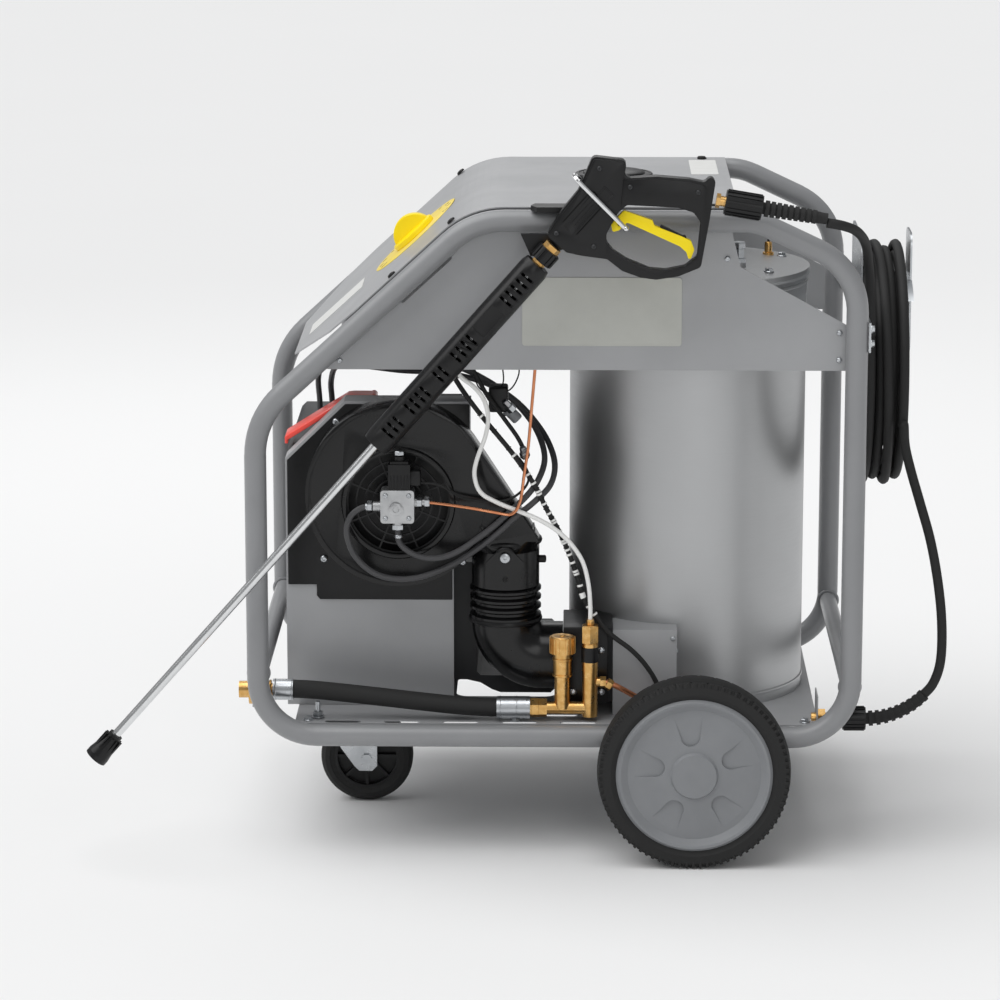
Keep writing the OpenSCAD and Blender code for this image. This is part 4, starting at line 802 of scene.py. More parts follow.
def rounded(wide: float, high: float, radius: float, steps: int = 5) -> list[tuple[float, float]]:
    """Corners of a rounded rectangle about its middle."""
    corners = []
    for turn, (sx, sy) in enumerate(((1, 1), (-1, 1), (-1, -1), (1, -1))):
        for k in range(steps + 1):
            angle = math.radians(90 * (turn + k / steps))
            corners.append((
                sx * (wide / 2 - radius) + radius * math.cos(angle),
                sy * (high / 2 - radius) + radius * math.sin(angle),
            ))
    return corners


def wire(name: str, points: Sequence[Point], thick: float, sides: int = 10, smooth: int = 6) -> bpy.types.Object:
    """A round wire through points of the machine, from a curve that is made a mesh.

    Args:
        name: Name of the piece.
        points: Where it passes, in millimetres from the cage's middle.
        thick: Its diameter.
        sides: Facets round it.
        smooth: Stretches between two points.

    Returns:
        The piece, in place.
    """
    line = spline(points, smooth)
    curve = bpy.data.curves.new(name, "CURVE")
    curve.dimensions = "3D"
    curve.bevel_depth = thick / 2 * MM
    curve.bevel_resolution = max(0, sides // 4 - 1)
    curve.use_fill_caps = True
    thread = curve.splines.new("POLY")
    thread.points.add(len(line) - 1)
    for knot, at in zip(thread.points, line):
        knot.co = (*place(*at), 1.0)
    piece = bpy.data.objects.new(name, curve)
    bpy.context.scene.collection.objects.link(piece)
    clear_selection()
    piece.select_set(True)
    bpy.context.view_layer.objects.active = piece
    bpy.ops.object.convert(target="MESH")
    return settle(bpy.context.view_layer.objects.active)


def screw(name: str, wide: float, kind: str = "socket") -> bpy.types.Object:
    """A screw head on the Z axis, with its drive sunk in.

    Args:
        name: Name of the piece.
        wide: Diameter of the head.
        kind: socket, or hex for a bolt with a washer face.

    Returns:
        The piece.
    """
    r = wide / 2
    if kind == "hex":
        foot = turned(name + "_washer", [(r * 1.25, 0), (r * 1.25, 0.2 * r), (r * 1.15, 0.3 * r)], 24)
        head = turned(name, [(r * 1.02, 0.25 * r), (r * 1.02, 0.85 * r), (r * 0.88, r)], 6)
        return joined([settle(foot), settle(head, smooth=False)], name)
    head = turned(name, [
        (r, 0), (r, 0.25 * r), (0.86 * r, 0.52 * r), (0.6 * r, 0.7 * r), (0.42 * r, 0.72 * r),
        (0.36 * r, 0.2 * r),
    ], 20)
    return settle(head)


def spread(pattern: bpy.types.Object, spots: Sequence[tuple[Point, Point]], name: str) -> bpy.types.Object:
    """Copies a piece to many places and joins the copies.

    Args:
        pattern: The piece, on the Z axis at the origin. It is used up.
        spots: For each copy its place in millimetres from the cage's middle, and where its Z axis points.
        name: Name of the joined piece.

    Returns:
        The joined piece.
    """
    twins = [copied(pattern, aim(way), place(*at)) for at, way in spots]
    bpy.data.objects.remove(pattern, do_unlink=True)
    return joined(twins, name)


# Directions across and up the machine, and out of the cover's slope
LEFT: Point = (0, -1, 0)
RIGHT: Point = (0, 1, 0)
UP: Point = (0, 0, 1)
SLOPE_A = math.radians(42.5104)
SLOPE_OUT: Point = (-math.sin(SLOPE_A), 0, math.cos(SLOPE_A))
# Foot of the sloping tube, along the machine and up, and the cover's height over the tube's middle
SLOPE_FOOT = (-460, 692)
COVER_HIGH = 19.5


def on_cover(x: float, y: float, lift: float = 0.0) -> Point:
    """A point on the outer face of the sloping cover, so much above it."""
    high = COVER_HIGH + lift
    rise = (x - SLOPE_FOOT[0]) * math.tan(SLOPE_A)
    return x + SLOPE_OUT[0] * high, y, SLOPE_FOOT[1] + rise + SLOPE_OUT[2] * high


def slope_turn() -> Matrix:
    """The turn that lays the XY plane on the cover's slope, with X uphill."""
    return Matrix.Rotation(-SLOPE_A, 3, "Y")


# ---- Cover and controls ----


@dataclass
class CoverTrim:
    """The dial's film, the blank films, the cap on top and the screws of the cover.

    Args:
        knob: Place of the control's shaft.
        dial_r: Radius of the printed film.
        cap: Middle of the cap on top.
        cap_r: Radius of the cap.
        top: Height of the cover's top face.
        screws: Places of the screws on the slope.
        grip_r: Radius of the control's grip.
        grip_t: Thickness of the grip.
    """

    knob: tuple[float, float] = (-209, -26)
    dial_r: float = 84.0
    cap: tuple[float, float] = (92, 58)
    cap_r: float = 62.0
    top: float = 1019.5
    screws: tuple[tuple[float, float], ...] = ((-145, -270), (-236, -270), (-145, 270), (-236, 270))
    grip_r: float = 34.5
    grip_t: float = 18.0

    def dial(self) -> None:
        """The pale yellow film under the control, and the marks round it."""
        at = place(*on_cover(*self.knob, 0.15))
        film = turned("dial_film", [(self.dial_r, 0), (self.dial_r, 0.4), (self.dial_r - 0.4, 0.6)], 96)
        dress(settle(film, slope_turn(), at), DIAL_FILM)
        marks = []
        for k in range(11):
            angle = math.radians(205 - 23 * k)
            mark = plate("dial_mark", rounded(9 if k % 5 else 14, 2.2, 1.0, 2), 0.35)
            spot = Vector((math.cos(angle), math.sin(angle), 0)) * (self.dial_r - 12) * MM
            mark.data.transform(Matrix.Rotation(angle, 4, "Z"))
            mark.data.transform(Matrix.Translation(spot + Vector((0, 0, 0.5 * MM))))
            marks.append(settle(mark, slope_turn(), at))
        dress(joined(marks, "dial_marks"), MARKING)

    def films(self) -> None:
        """The blank films: one below the dial and one on top."""
        low = plate("blank_film_slope", rounded(114, 92, 3), 0.5, 0.1)
        dress(settle(low, slope_turn(), place(*on_cover(-334, -26, 0.1))), LABEL)
        flat = plate("blank_film_top", rounded(44, 170, 4), 0.5, 0.1)
        dress(settle(flat, None, place(238, 160, self.top + 0.1)), LABEL)

    def top_cap(self) -> None:
        """The round black cap, with a stepped rim and a dimple."""
        r = self.cap_r
        cap = turned("cover_cap", [
            (r, 0), (r, 4), (r - 1.5, 5.5), (r - 6, 6), (r - 7, 5), (r - 12, 5), (r - 13.5, 7.5), (r - 17, 9),
            (16, 9.6), (14, 8), (3, 7.6),
        ], 64)
        dress(settle(cap, None, place(*self.cap, self.top)), NYLON)

    def bolts(self) -> None:
        """The screws that hold the cover to the rails."""
        spots = [(on_cover(x, y), SLOPE_OUT) for x, y in self.screws]
        head = turned("cover_screws", [(7.2, 0), (7.2, 1.4), (6, 3.2), (3.6, 4), (2.4, 2.2)], 24)
        dress(spread(settle(head), spots, "cover_screws"), NYLON)
        plugs = [((240, y, self.top), UP) for y in (-266, 266)]
        head = settle(turned("cover_plugs", [(6.5, 0), (6.5, 1.2), (5, 2.4), (2, 2.9)], 20))
        dress(spread(head, plugs, "cover_plugs"), NYLON)
        nub = settle(turned("cover_stop", [(7, 0), (7, 3), (6, 4.4), (3, 4.8)], 24))
        dress(spread(nub, [((238, 262, self.top), UP)], "cover_stop"), RUBBER)

    def control(self) -> None:
        """The yellow control: a round skirt with a tall grip that runs uphill."""
        grip = turned("knob_grip", [(self.grip_r, -self.grip_t / 2), (self.grip_r, self.grip_t / 2)], 72)
        grip.data.transform(Matrix.Rotation(math.radians(90), 4, "X"))
        edit(grip)
        bpy.ops.mesh.bisect(plane_co=(0, 0, 4 * MM), plane_no=(0, 0, -1), use_fill=True, clear_outer=True)
        close_edit()
        soft = grip.modifiers.new("soft_edges", "BEVEL")
        soft.width, soft.segments, soft.limit_method = 2 * MM, 3, "ANGLE"
        skirt = turned("knob_skirt", [
            (38, 0), (39, 1), (39, 6.5), (38.2, 8.2), (36, 9.2), (32, 9.6), (20, 9.8), (6, 9.8),
        ], 72)
        at = place(*on_cover(*self.knob, 0.6))
        piece = joined([settle(grip, slope_turn(), at), settle(skirt, slope_turn(), at)], "control_grip")
        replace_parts(dress(piece, YELLOW_ABS, "control_knob"), "control_knob")

    def build(self) -> None:
        """Makes everything on the cover."""
        self.control()
        self.dial()
        self.films()
        self.top_cap()
        self.bolts()


# ---- Blower side ----


@dataclass
class BlowerTrim:
    """Screws, clips, clamps, wiring and the ignition box round the blower.

    Args:
        board_y: Front face of the black plate.
        duct: Middle of the duct.
        pump: Middle of the fuel pump.
        conduit: Points along the conduit.
        dense_z: Height under which every other tie is light.
        run_mm: Length of the stretches that wrap and ties take in turn.
    """

    board_y: float = -173.6
    duct: tuple[float, float] = (-77, -180)
    pump: tuple[float, float] = (-243, 550)
    conduit: tuple[Point, ...] = (
        (-116, -236, 690), (-67, -247, 632), (-33, -252, 584), (-13, -246, 543), (7, -241, 505),
        (23, -239, 468), (38, -240, 425), (46, -242, 398), (64, -244, 372),
    )
    dense_z: float = 600.0
    run_mm: float = 9.0

    def screws(self) -> None:
        """The zinc screws of the plate and the duct."""
        spots = [((x, self.board_y, z), LEFT) for x, z in ((-342, 664), (-363, 444), (-144, 440))]
        dress(spread(screw("board_screws", 12), spots, "board_screws"), ZINC)
        big = turned("damper_screw", [(8.5, 0), (8.5, 2.5), (7.4, 4.4), (4.5, 5.4), (2.6, 5.6), (2.2, 3.4)], 28)
        dress(spread(settle(big), [((self.duct[0], -239.4, 462), LEFT)], "damper_screw"), ZINC)
        nub = turned("duct_boss", [(6, 0), (6, 9), (4.5, 10.5), (2, 11)], 20)
        dress(spread(settle(nub), [((-24, -180, 447), (1, 0, 0))], "duct_boss"), NYLON)
        hole = turned("board_grommet", [(17, 0), (17, 2.6), (14.5, 3.2), (13, 2.4), (13, 0.4)], 32)
        stretch(hole, (0.62, 1, 1))
        dress(settle(hole, aim(LEFT), place(-187, self.board_y, 431)), RUBBER)

    def damper(self) -> None:
        """The damper's clip: an arc over the screw, and the little stop below it."""
        arc = [(self.duct[0] + 15 * math.cos(math.radians(a)), -240.2, 462 + 15 * math.sin(math.radians(a)))
               for a in range(35, 150, 14)]
        dress(wire("damper_clip", arc, 4.2), NYLON)
        pin = turned("damper_stop", [(4.4, 0), (4.4, 1.6), (3.4, 2.4), (2, 0.6)], 18)
        dress(spread(settle(pin), [((self.duct[0], -238.2, 427), LEFT)], "damper_stop"), RUBBER)
        for name, high, r in (("duct_clamp_low", 352.6, 54.4), ("duct_clamp_high", 479.0, 54.2)):
            band = ring(name, r, 7, 64, 8, 0.5)
            stretch(band, (1, 1, 2.6))
            dress(settle(band, None, place(*self.duct, high)), NYLON)

    def pump_trim(self) -> None:
        """Screws, plugs and the pressure port of the fuel pump, and the fins of its coil."""
        x, z = self.pump
        spots = [((x + i * 18, -274.6, z + j * 18), LEFT) for i in (-1, 1) for j in (-1, 1)]
        dress(spread(screw("pump_screws", 7.5), spots, "pump_screws"), ZINC)
        port = turned("pump_port", [(10, 0), (10, 1.2), (8.6, 2), (5, 2), (4.2, 0.8), (1.6, 0.8)], 28)
        dress(spread(settle(port), [((x - 2, -277, z - 3), LEFT)], "pump_port"), CAST_ALLOY)
        hexes = [
            ((x - 40, -260, z - 2), (-1, 0, 0)), ((x + 30, -257, z + 4), (1, 0, 0)),
            ((x + 42, -257, z + 4), (1, 0, 0)), ((x, -257, z - 32), (0, 0, -1)),
        ]
        nut = turned("pump_unions", [(9.2, 0), (9.2, 6.5), (8, 7.6), (6, 7.8)], 6)
        dress(spread(settle(nut, smooth=False), hexes, "pump_unions"), ZINC)
        fins = [((x - 10 + k * 5.2, -272.2, z + 36), LEFT) for k in range(6)]
        fin = block("coil_fins", (1.6, 26, 1.4), 0.4)
        dress(spread(settle(fin), fins, "coil_fins"), NYLON)
        nut = turned("coil_nut", [(7.5, 0), (7.5, 5), (6.4, 6.2), (3.6, 6.4)], 6)
        dress(spread(settle(nut, smooth=False), [((x + 3, -256, z + 79), UP)], "coil_nut"), ZINC)
        plug = block("coil_plug", (20, 22, 24), 3)
        dress(settle(plug, None, place(x + 26, -258, z + 44)), NYLON)

    def hoses(self) -> None:
        """The worm drive clamps on the fuel hoses, at the pump."""
        band = ring("hose_clamps", 5.6, 2.2, 28, 8, 1.0)
        stretch(band, (1, 1, 2.6))
        spots = [
            ((-290, -260, 547), (-1, 0, -0.15)), ((-242, -257, 500), (0, 0, -1)),
            ((-364, 61, 632), UP), ((-382, 61, 632), UP),
        ]
        dress(spread(settle(band), spots, "hose_clamps"), ZINC)

    def wiring(self) -> None:
        """The conduit's wrap with its light ties, two thin wires in a bow and the igniter's lead."""
        line = spline(self.conduit, 10)
        loops, ties, run = [], [], 0.0
        for a, b in zip(line, line[1:]):
            run += (b - a).length
            (ties if int(run / self.run_mm) % 2 else loops).append((tuple(a), tuple(b - a)))
        band = ring("conduit_wrap", 4.3, 1.5, 16, 6)
        dress(spread(settle(band), loops[::2], "conduit_wrap"), RUBBER)
        pale = ring("conduit_ties", 4.2, 1.2, 16, 6, 3.2)
        light = [tie for k, tie in enumerate(ties) if k % 6 == 0 or (tie[0][2] < self.dense_z and k % 2)]
        dress(spread(settle(pale), light, "conduit_ties"), WHITE_HOSE)
        bows = (
            (
                (-128, -205, 768), (-120, -205, 728), (-98, -205, 716), (-70, -205, 722), (-56, -205, 748),
                (-60, -205, 772),
            ),
            ((-84, -200, 770), (-80, -200, 736), (-88, -200, 712), (-78, -198, 700), (-62, -196, 686)),
        )
        for k, bow in enumerate(bows):
            dress(wire("sensor_wire_%d" % (k + 1), bow, 2.6), RUBBER)
        lead = ((-46, -206, 622), (-58, -212, 648), (-80, -216, 680), (-106, -214, 716), (-130, -210, 760))
        dress(wire("igniter_lead", lead, 7.0), RUBBER)

    def electrics(self) -> None:
        """The ignition box above the scroll, its cable gland and two zinc fittings."""
        dress(settle(block("ignition_box", (30, 38, 40), 4, 3), None, place(-88, -188, 705.8)), NYLON)
        gland = turned("ignition_gland", [(11, 0), (11, 5), (9, 6.5), (9, 22), (7.5, 24), (5, 24)], 24)
        dress(spread(settle(gland), [((-74, -188, 688), (0.7, 0, -0.72))], "ignition_gland"), POLYPROPYLENE)
        nut = turned("igniter_unions", [(8, 0), (8, 9), (6, 11), (5.2, 20), (4, 21)], 6)
        spots = [((-66, -205, 690), (-0.6, -0.3, 0.7)), ((-46, -204, 616), (-0.2, -0.5, 0.8))]
        dress(spread(settle(nut, smooth=False), spots, "igniter_unions"), ZINC)

    def build(self) -> None:
        """Makes everything round the blower."""
        self.screws()
        self.damper()
        self.pump_trim()
        self.hoses()
        self.wiring()
        self.electrics()


# ---- Water side ----


@dataclass
class WaterTrim:
    """Crimps, unions and the valve's knurled head.

    Args:
        y: Plane of the manifold.
        valve_x: Middle of the safety valve.
        sensor_x: Middle of the flow sensor.
    """

    y: float = -258.0
    valve_x: float = 13.0
    sensor_x: float = 56.0

    def crimps(self) -> None:
        """The pressed rings of the ferrules at both ends of the inlet hose."""
        for name, x, y, z, wide in (("left", -436, -252, 252, 16.2), ("right", -84, -258, 226, 17.6)):
            rows = [((x + k * 25.5, y, z), (1, 0, 0)) for k in range(2)]
            band = settle(ring("ferrule_crimps_" + name, wide, 2.0, 40, 8))
            dress(spread(band, rows, "ferrule_crimps_" + name), ZINC)

    def valve(self) -> None:
        """Domed cap, locking screw and collars of the safety valve."""
        cap = turned("valve_cap", [
            (18.2, 0), (17.4, 0.9), (12, 1.6), (11, 1.2), (4.6, 1.3), (4.2, 2.6), (1.6, 2.8),
        ], 40)
        dress(settle(cap, None, place(self.valve_x, self.y, 341)), BRASS)
        for name, high, r in (("valve_collar_low", 277.4, 14.6), ("valve_collar_high", 303.0, 14.6)):
            collar = turned(name, [(r, 0), (r + 1.2, 0.8), (r + 1.2, 3.6), (r, 4.4)], 32)
            dress(settle(collar, None, place(self.valve_x, self.y, high)), BRASS)

    def sensor(self) -> None:
        """Black ring and brass hexagon of the flow sensor."""
        sleeve = turned("sensor_ring", [(12.7, 0), (13.5, 0.8), (13.5, 23.2), (12.7, 24)], 32)
        dress(settle(sleeve, None, place(self.sensor_x, self.y, 301)), NYLON)
        high = turned("sensor_hexagon", [(13.0, 0), (14.2, 0.9), (14.2, 27), (12.6, 28.4), (8, 28.8)], 6)
        dress(settle(high, None, place(self.sensor_x, self.y, 331), smooth=False), BRASS)
        tail = turned("sensor_barb", [(6.4, 0), (6.8, 1.4), (6.4, 2.4), (6.8, 3.8), (6.2, 5.4)], 20)
        dress(settle(tail, None, place(self.sensor_x, self.y, 361)), BRASS)

    def unions(self) -> None:
        """Hexagon nuts where pipes and ferrules screw in."""
        nut = turned("manifold_unions", [(14.2, 0), (15.4, 1.2), (15.4, 12), (14.2, 13.2)], 6)
        dress(spread(settle(nut, smooth=False), [((-36, -258, 226), (1, 0, 0))], "manifold_unions"), BRASS)
        small = turned("pipe_union", [(8.2, 0), (9, 0.8), (9, 9), (8, 10), (6, 10.4)], 6)
        dress(spread(settle(small, smooth=False), [((81.4, -258, 266.5), (0.86, 0, -0.5))], "pipe_union"), BRASS)
        collar = turned("inlet_collar", [(14.5, 0), (15.2, 0.8), (15.2, 3), (14.2, 3.8)], 32)
        dress(spread(settle(collar), [((-446, -252, 252), (1, 0, 0))], "inlet_collar"), BRASS)

    def flange_screws(self) -> None:
        """The screws of the burner's black flange and of its box."""
        spots = [((74, -236.2, 313.5), LEFT), ((30, -236.2, 246), LEFT), ((74, -236.2, 246), LEFT)]
        dress(spread(screw("flange_screws", 11), spots, "flange_screws"), ZINC)
        box = [((186, -225.2, 330), LEFT), ((186, -225.2, 222), LEFT), ((192.2, -190, 300), (1, 0, 0))]
        dress(spread(screw("burner_box_screws", 8), box, "burner_box_screws"), ZINC)

    def build(self) -> None:
        """Makes everything on the water side."""
        self.crimps()
        self.valve()
        self.sensor()
        self.unions()
        self.flange_screws()


# ---- Hoses, pipes and wires inside the cage ----


@dataclass(frozen=True)
class FixedLine:
    """One hose, pipe or cable that is held along its way.

    Args:
        name: Name of the piece.
        wide: Its diameter.
        finish: Its material.
        route: Where it passes, in millimetres from the cage's middle.
    """

    name: str
    wide: float
    finish: Finish
    route: tuple[Point, ...]


@dataclass
class Plumbing:
    """Smooth hoses and pipes in the place of the drawn ones.

    Args:
        feed: Fuel hose to the pump.
        back: Fuel hose back to the tank.
        white: Hose of the float box.
        conduit: Sleeve over the burner's cables.
        lead: Cable of the solenoid coil.
        oil: Pipe to the burner.
        water: Pipe to the boiler.
        inlet: Hose from the water coupling.
    """

    feed: FixedLine = FixedLine("fuel_feed_hose", 9.5, FUEL_RUBBER, (
        (-282, -260, 548), (-300, -260, 545), (-315, -260, 533), (-322, -259, 514), (-320, -258, 493),
        (-311, -256, 470), (-294, -254, 450), (-272, -252, 436), (-243, -250, 430), (-213, -248, 432),
        (-184, -246, 441), (-154, -244, 455), (-122, -243, 476), (-90, -243, 501), (-63, -243, 526),
        (-32, -243, 552), (-8, -228, 574), (0, -195, 596), (-6, -155, 618), (-24, -122, 645), (-58, -100, 680),
        (-100, -90, 706), (-150, -90, 722), (-200, -90, 728), (-245, -88, 730), (-300, -75, 734),
        (-345, -40, 730), (-362, 40, 690), (-362, 60, 650), (-362, 62, 612),
    ))
    back: FixedLine = FixedLine("fuel_return_hose", 9.5, FUEL_RUBBER, (
        (-243, -257, 510), (-241, -257, 491), (-228, -257, 477), (-210, -257, 468), (-190, -257, 465),
        (-169, -257, 468), (-146, -255, 478), (-120, -250, 495), (-92, -245, 516), (-69, -243, 537),
        (-44, -243, 561), (-26, -232, 584), (-16, -196, 608), (-22, -156, 632), (-40, -126, 660),
        (-72, -110, 692), (-106, -104, 716), (-152, -104, 738), (-200, -104, 744), (-245, -102, 746),
        (-300, -90, 750), (-358, -40, 744), (-382, 40, 700), (-382, 60, 650), (-382, 62, 612),
    ))
    white: FixedLine = FixedLine("white_float_hose", 7.0, WHITE_HOSE, (
        (-168, -245, 800), (-159, -245, 780), (-147, -245, 752), (-126, -246, 735), (-110, -247, 715),
        (-103, -248, 688), (-107, -250, 658), (-120, -252, 622), (-124, -253, 596), (-115, -254, 570),
        (-90, -254, 554), (-56, -254, 540), (-25, -254, 527), (3, -255, 510), (26, -256, 488),
        (44, -257, 460), (53, -258, 425), (56, -258, 390), (56, -258, 369),
    ))
    conduit: FixedLine = FixedLine("burner_cable_conduit", 8.0, RUBBER, (
        (-178, -222, 790), (-152, -222, 738), (-116, -236, 690), (-67, -247, 632), (-33, -252, 584),
        (-13, -246, 543), (7, -241, 505), (23, -239, 468), (38, -240, 425), (46, -242, 398),
        (64, -244, 372), (78, -246, 352), (95, -246, 336), (119, -246, 318), (140, -246, 296),
        (157, -244, 270), (164, -240, 250), (166, -232, 240), (166, -225.5, 240),
    ))
    lead: FixedLine = FixedLine("coil_cable", 4.0, RUBBER, (
        (-219, -256, 585), (-205, -257, 585), (-180, -256, 582), (-160, -252, 570), (-140, -246, 558),
        (-100, -240, 552), (-70, -240, 556), (-48, -240, 572), (-40, -240, 590), (-46, -240, 608), (-60, -239, 626),
    ))
    oil: FixedLine = FixedLine("burner_oil_pipe", 5.0, COPPER, (
        (-198, -257, 554), (-176, -258, 552), (-130, -261, 546), (-84, -262, 538), (-70, -262, 536),
        (-61, -262, 541), (-55, -262, 552), (-51, -261, 568), (-47, -260, 600), (-41, -258, 642),
        (-36, -256, 700), (-31, -255, 760), (-28, -255, 800),
    ))
    water: FixedLine = FixedLine("boiler_water_pipe", 9.0, COPPER, (
        (81, -258, 268), (92, -258, 264), (110, -256, 254), (128, -252, 243), (150, -246, 231),
        (175, -240, 222), (198, -235, 216), (216, -222, 213), (226, -205, 212), (228, -187.6, 212),
    ))
    inlet: FixedLine = FixedLine("inlet_water_hose", 29.0, RUBBER, (
        (-408, -252, 253), (-370, -252, 251), (-290, -253, 243), (-205, -255, 234), (-140, -257, 228),
        (-92, -258, 226), (-90, -258, 226),
    ))

    def lay(self, node: str, *lines: FixedLine) -> None:
        """Lays lines in the place of one CAD node.

        Args:
            node: The node that they stand for.
            lines: The lines.
        """
        for line in lines:
            piece = dress(wire(line.name, line.route, line.wide, 28 if line.wide > 20 else 16, 5), line.finish)
            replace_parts(piece, node)

    def build(self) -> None:
        """Lays all of them."""
        self.lay("fuel_hoses", self.feed, self.back)
        self.lay("white_hose", self.white)
        self.lay("cable_conduit", self.conduit, self.lead)
        self.lay("copper_pipes", self.oil, self.water)
        self.lay("inlet_hose", self.inlet)


# ---- Gun and lance ----


@dataclass
class GunTrim:
    """Brass couplings, inlays and screws of the trigger gun and its holder.

    Args:
        y: Middle plane of the gun.
        muzzle: Where the lance screws in.
        lance: Direction of the lance, away from the gun.
        halves: Places of the screws that join the halves.
    """

    y: float = -349.0
    muzzle: tuple[float, float] = (-1, 971)
    lance: Point = (-0.6613, 0, -0.7501)
    halves: tuple[tuple[float, float], ...] = ((66, 1090), (2, 992), (58, 972), (112, 1062))

    def along(self, way: float) -> Point:
        """A point on the lance's axis."""
        return self.muzzle[0] + self.lance[0] * way, self.y, self.muzzle[1] + self.lance[2] * way

    def couplings(self) -> None:
        """Brass hexagons either side of the union nut."""
        head = turned("muzzle_hexagon", [(12.6, 0), (13.8, 1), (13.8, 9), (12.4, 10.2)], 6)
        dress(spread(settle(head, smooth=False), [(self.along(0.6), self.lance)], "muzzle_hexagon"), BRASS)
        tail = turned("lance_coupling", [(9, 0), (10.6, 1), (10.6, 5), (9, 6)], 6)
        dress(spread(settle(tail, smooth=False), [(self.along(32.2), self.lance)], "lance_coupling"), BRASS)

    def inlay(self) -> None:
        """The raised frame with bars in the gun's side, left bare, and the small square above it."""
        turn = Matrix.Rotation(math.radians(90), 3, "X") @ Matrix.Rotation(math.radians(48), 3, "Z")
        bars = [block("gun_inlay", (62, 2.2, 1.2), 0.5)]
        for shift in (-9, -3, 3, 9):
            bar = block("gun_inlay_bar", (54 if abs(shift) > 5 else 46, 1.6, 1.0), 0.4)
            bar.data.transform(Matrix.Translation((0, shift * MM, 0)))
            bars.append(bar)
        bars[0].data.transform(Matrix.Translation((0, 14 * MM, 0)))
        low = block("gun_inlay_low", (62, 2.2, 1.2), 0.5)
        low.data.transform(Matrix.Translation((0, -14 * MM, 0)))
        piece = joined([*bars, low], "gun_inlay")
        dress(settle(piece, turn, place(42, -366.4, 1022)), NYLON)
        square = joined([block("gun_badge", (20, 20, 1.2), 0.5)], "gun_badge")
        edit(square)
        pick(square, lambda face: face.normal.z > 0.9)
        bpy.ops.mesh.inset(thickness=1.6 * MM, depth=-0.7 * MM)
        close_edit()
        dress(settle(square, turn, place(75, -367.2, 1049)), NYLON)

    def screws(self) -> None:
        """Screws that hold the gun's halves together."""
        spots = [*(((x, -367.2, z), LEFT) for x, z in self.halves), ((214, -365.2, 1054), LEFT)]
        dress(spread(screw("gun_screws", 7.5), spots, "gun_screws"), MOTOR_ENAMEL)
        back = [((x, -330.8, z), RIGHT) for x, z in self.halves]
        cover = turned("gun_screw_covers", [(4.6, 0), (4.6, 0.8), (3.4, 1.4), (1.6, 0.9)], 20)
        dress(spread(settle(cover), back, "gun_screw_covers"), NYLON)

    def build(self) -> None:
        """Makes everything on the gun and the lance."""
        self.couplings()
        self.inlay()
        self.screws()


# ---- Panels, boiler and frame ----


@dataclass
class PanelTrim:
    """Bare name plate, screws and hems of the side panels.

    Args:
        face_y: Outer face of the near panel.
    """

    face_y: float = -277.6

    def plates(self) -> None:
        """The bare plate on either side, with its rounded corners and raised border."""
        for side, name in ((-1, "left"), (1, "right")):
            turn = Matrix.Rotation(math.radians(-90 * side), 3, "X")
            piece = plate("bare_plate_" + name, rounded(244, 106, 5), 1.2, 0.4)
            edit(piece)
            pick(piece, lambda face: face.normal.z > 0.9)
            bpy.ops.mesh.inset(thickness=3 * MM, depth=-0.35 * MM)
            close_edit()
            dress(settle(piece, turn, place(71.5, side * -self.face_y, 857.5)), FILM)

    def screws(self) -> None:
        """Screws along the panels' rear edges and below the rails."""
        spots = []
        for side, way in ((-1, LEFT), (1, RIGHT)):
            y = side * 277.7
            spots += [((x, y, z), way) for x, z in ((434, 826), (434, 784), (-330, 781), (-140, 781), (262, 940))]
        dress(spread(screw("panel_screws", 9), spots, "panel_screws"), ZINC)

    def hems(self) -> None:
        """The folded lower edge of each panel."""
        for side, name in ((-1, "left"), (1, "right")):
            hem = block("panel_hem_" + name, (770, 9, 2), 0.9)
            dress(settle(hem, None, place(50, side * 272.6, 768.2)), SHEET_PAINT)

    def build(self) -> None:
        """Makes everything on the side panels."""
        self.plates()
        self.screws()
        self.hems()


